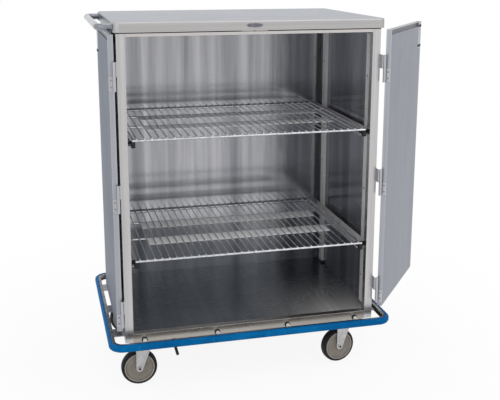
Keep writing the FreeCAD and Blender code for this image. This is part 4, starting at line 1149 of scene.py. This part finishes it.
def makeFloor():
    half = studio["floorSize"] / 2
    mesh = bpy.data.meshes.new("studioFloor")
    square = [(-half, -half, 0), (half, -half, 0), (half, half, 0), (-half, half, 0)]
    mesh.from_pydata(square, [], [(0, 1, 2, 3)])
    floor = linkPiece("studioFloor", mesh)
    material = bpy.data.materials.new("paleFloor")
    material.use_nodes = True
    tree = material.node_tree
    tree.nodes.clear()
    tone = studio["floorTone"]
    matte = addNode(tree, "ShaderNodeBsdfDiffuse", {"Color": (tone, tone, tone, 1.0)})
    glow = addNode(tree, "ShaderNodeEmission", {"Color": white, "Strength": 1.0})
    place = addNode(tree, "ShaderNodeTexCoord").outputs["Object"]
    away = vectorNode(tree, "LENGTH", place).outputs["Value"]
    plain = remap(tree, away, *studio["fade"], studio["floorWhite"], 1.0)  # plain white far from the cart
    share = mathNode(tree, "MULTIPLY", whiteWhereSeen(tree), plain)
    mix = addNode(tree, "ShaderNodeMixShader", {0: share, 1: matte.outputs[0], 2: glow.outputs[0]})
    addNode(tree, "ShaderNodeOutputMaterial", {"Surface": mix.outputs[0]})
    mesh.materials.append(material)


def makeWorld():
    world = bpy.data.worlds.new("studioWorld")
    bpy.context.scene.world = world
    world.use_nodes = True
    tree = world.node_tree
    tree.nodes.clear()
    strength = between(tree, whiteWhereSeen(tree), (studio["ambient"], 1.0))
    sky = addNode(tree, "ShaderNodeBackground", {"Color": white, "Strength": strength})
    addNode(tree, "ShaderNodeOutputWorld", {"Surface": sky.outputs[0]})


lampTarget = Vector((0, 0, 0.7))
lamps = {
    "keyLamp": {"place": (2.4, -3.0, 3.4), "size": 4.0, "power": 34},
    "fillLamp": {"place": (-3.0, -2.6, 2.4), "size": 4.0, "power": 14},
    "topLamp": {"place": (0.2, 0.4, 4.2), "size": 3.0, "power": 16},
}


def makeLamps():
    for name, lamp in lamps.items():
        light = bpy.data.lights.new(name, "AREA")
        light.size = lamp["size"]
        light.energy = lamp["power"]
        toTarget = lampTarget - Vector(lamp["place"])
        turn = toTarget.to_track_quat("-Z", "Y").to_matrix().to_4x4()
        linkPiece(name, light).matrix_world = Matrix.Translation(lamp["place"]) @ turn


cameraView = {
    "frame": (500, 400), "focal": 846.86, "middle": (250.0, 150.0), "sensor": 36.0,
    "yaw": 14.25, "pitch": 12.64, "roll": 0.08, "place": (-0.69594, -2.99069, 1.46636),
}


def makeCamera():
    yaw, pitch, roll = (math.radians(cameraView[key]) for key in ("yaw", "pitch", "roll"))
    ahead = Vector((math.sin(yaw) * math.cos(pitch), math.cos(yaw) * math.cos(pitch), -math.sin(pitch)))
    right = Vector((math.cos(yaw), -math.sin(yaw), 0))
    up = right.cross(ahead)
    rolledRight = right * math.cos(roll) + up * math.sin(roll)
    rolledUp = up * math.cos(roll) - right * math.sin(roll)
    data = bpy.data.cameras.new("photoCamera")
    width, height = cameraView["frame"]
    data.sensor_width = cameraView["sensor"]
    data.lens = cameraView["focal"] * cameraView["sensor"] / width
    data.shift_x = (width / 2 - cameraView["middle"][0]) / width
    data.shift_y = (cameraView["middle"][1] - height / 2) / width
    camera = linkPiece("photoCamera", data)
    turn = Matrix((rolledRight, rolledUp, -ahead)).transposed().to_4x4()
    camera.matrix_world = Matrix.Translation(cameraView["place"]) @ turn
    bpy.context.scene.camera = camera


makeFloor()
makeWorld()
makeLamps()
makeCamera()
bpy.context.scene.view_settings.view_transform = "Standard"
print("stage set")
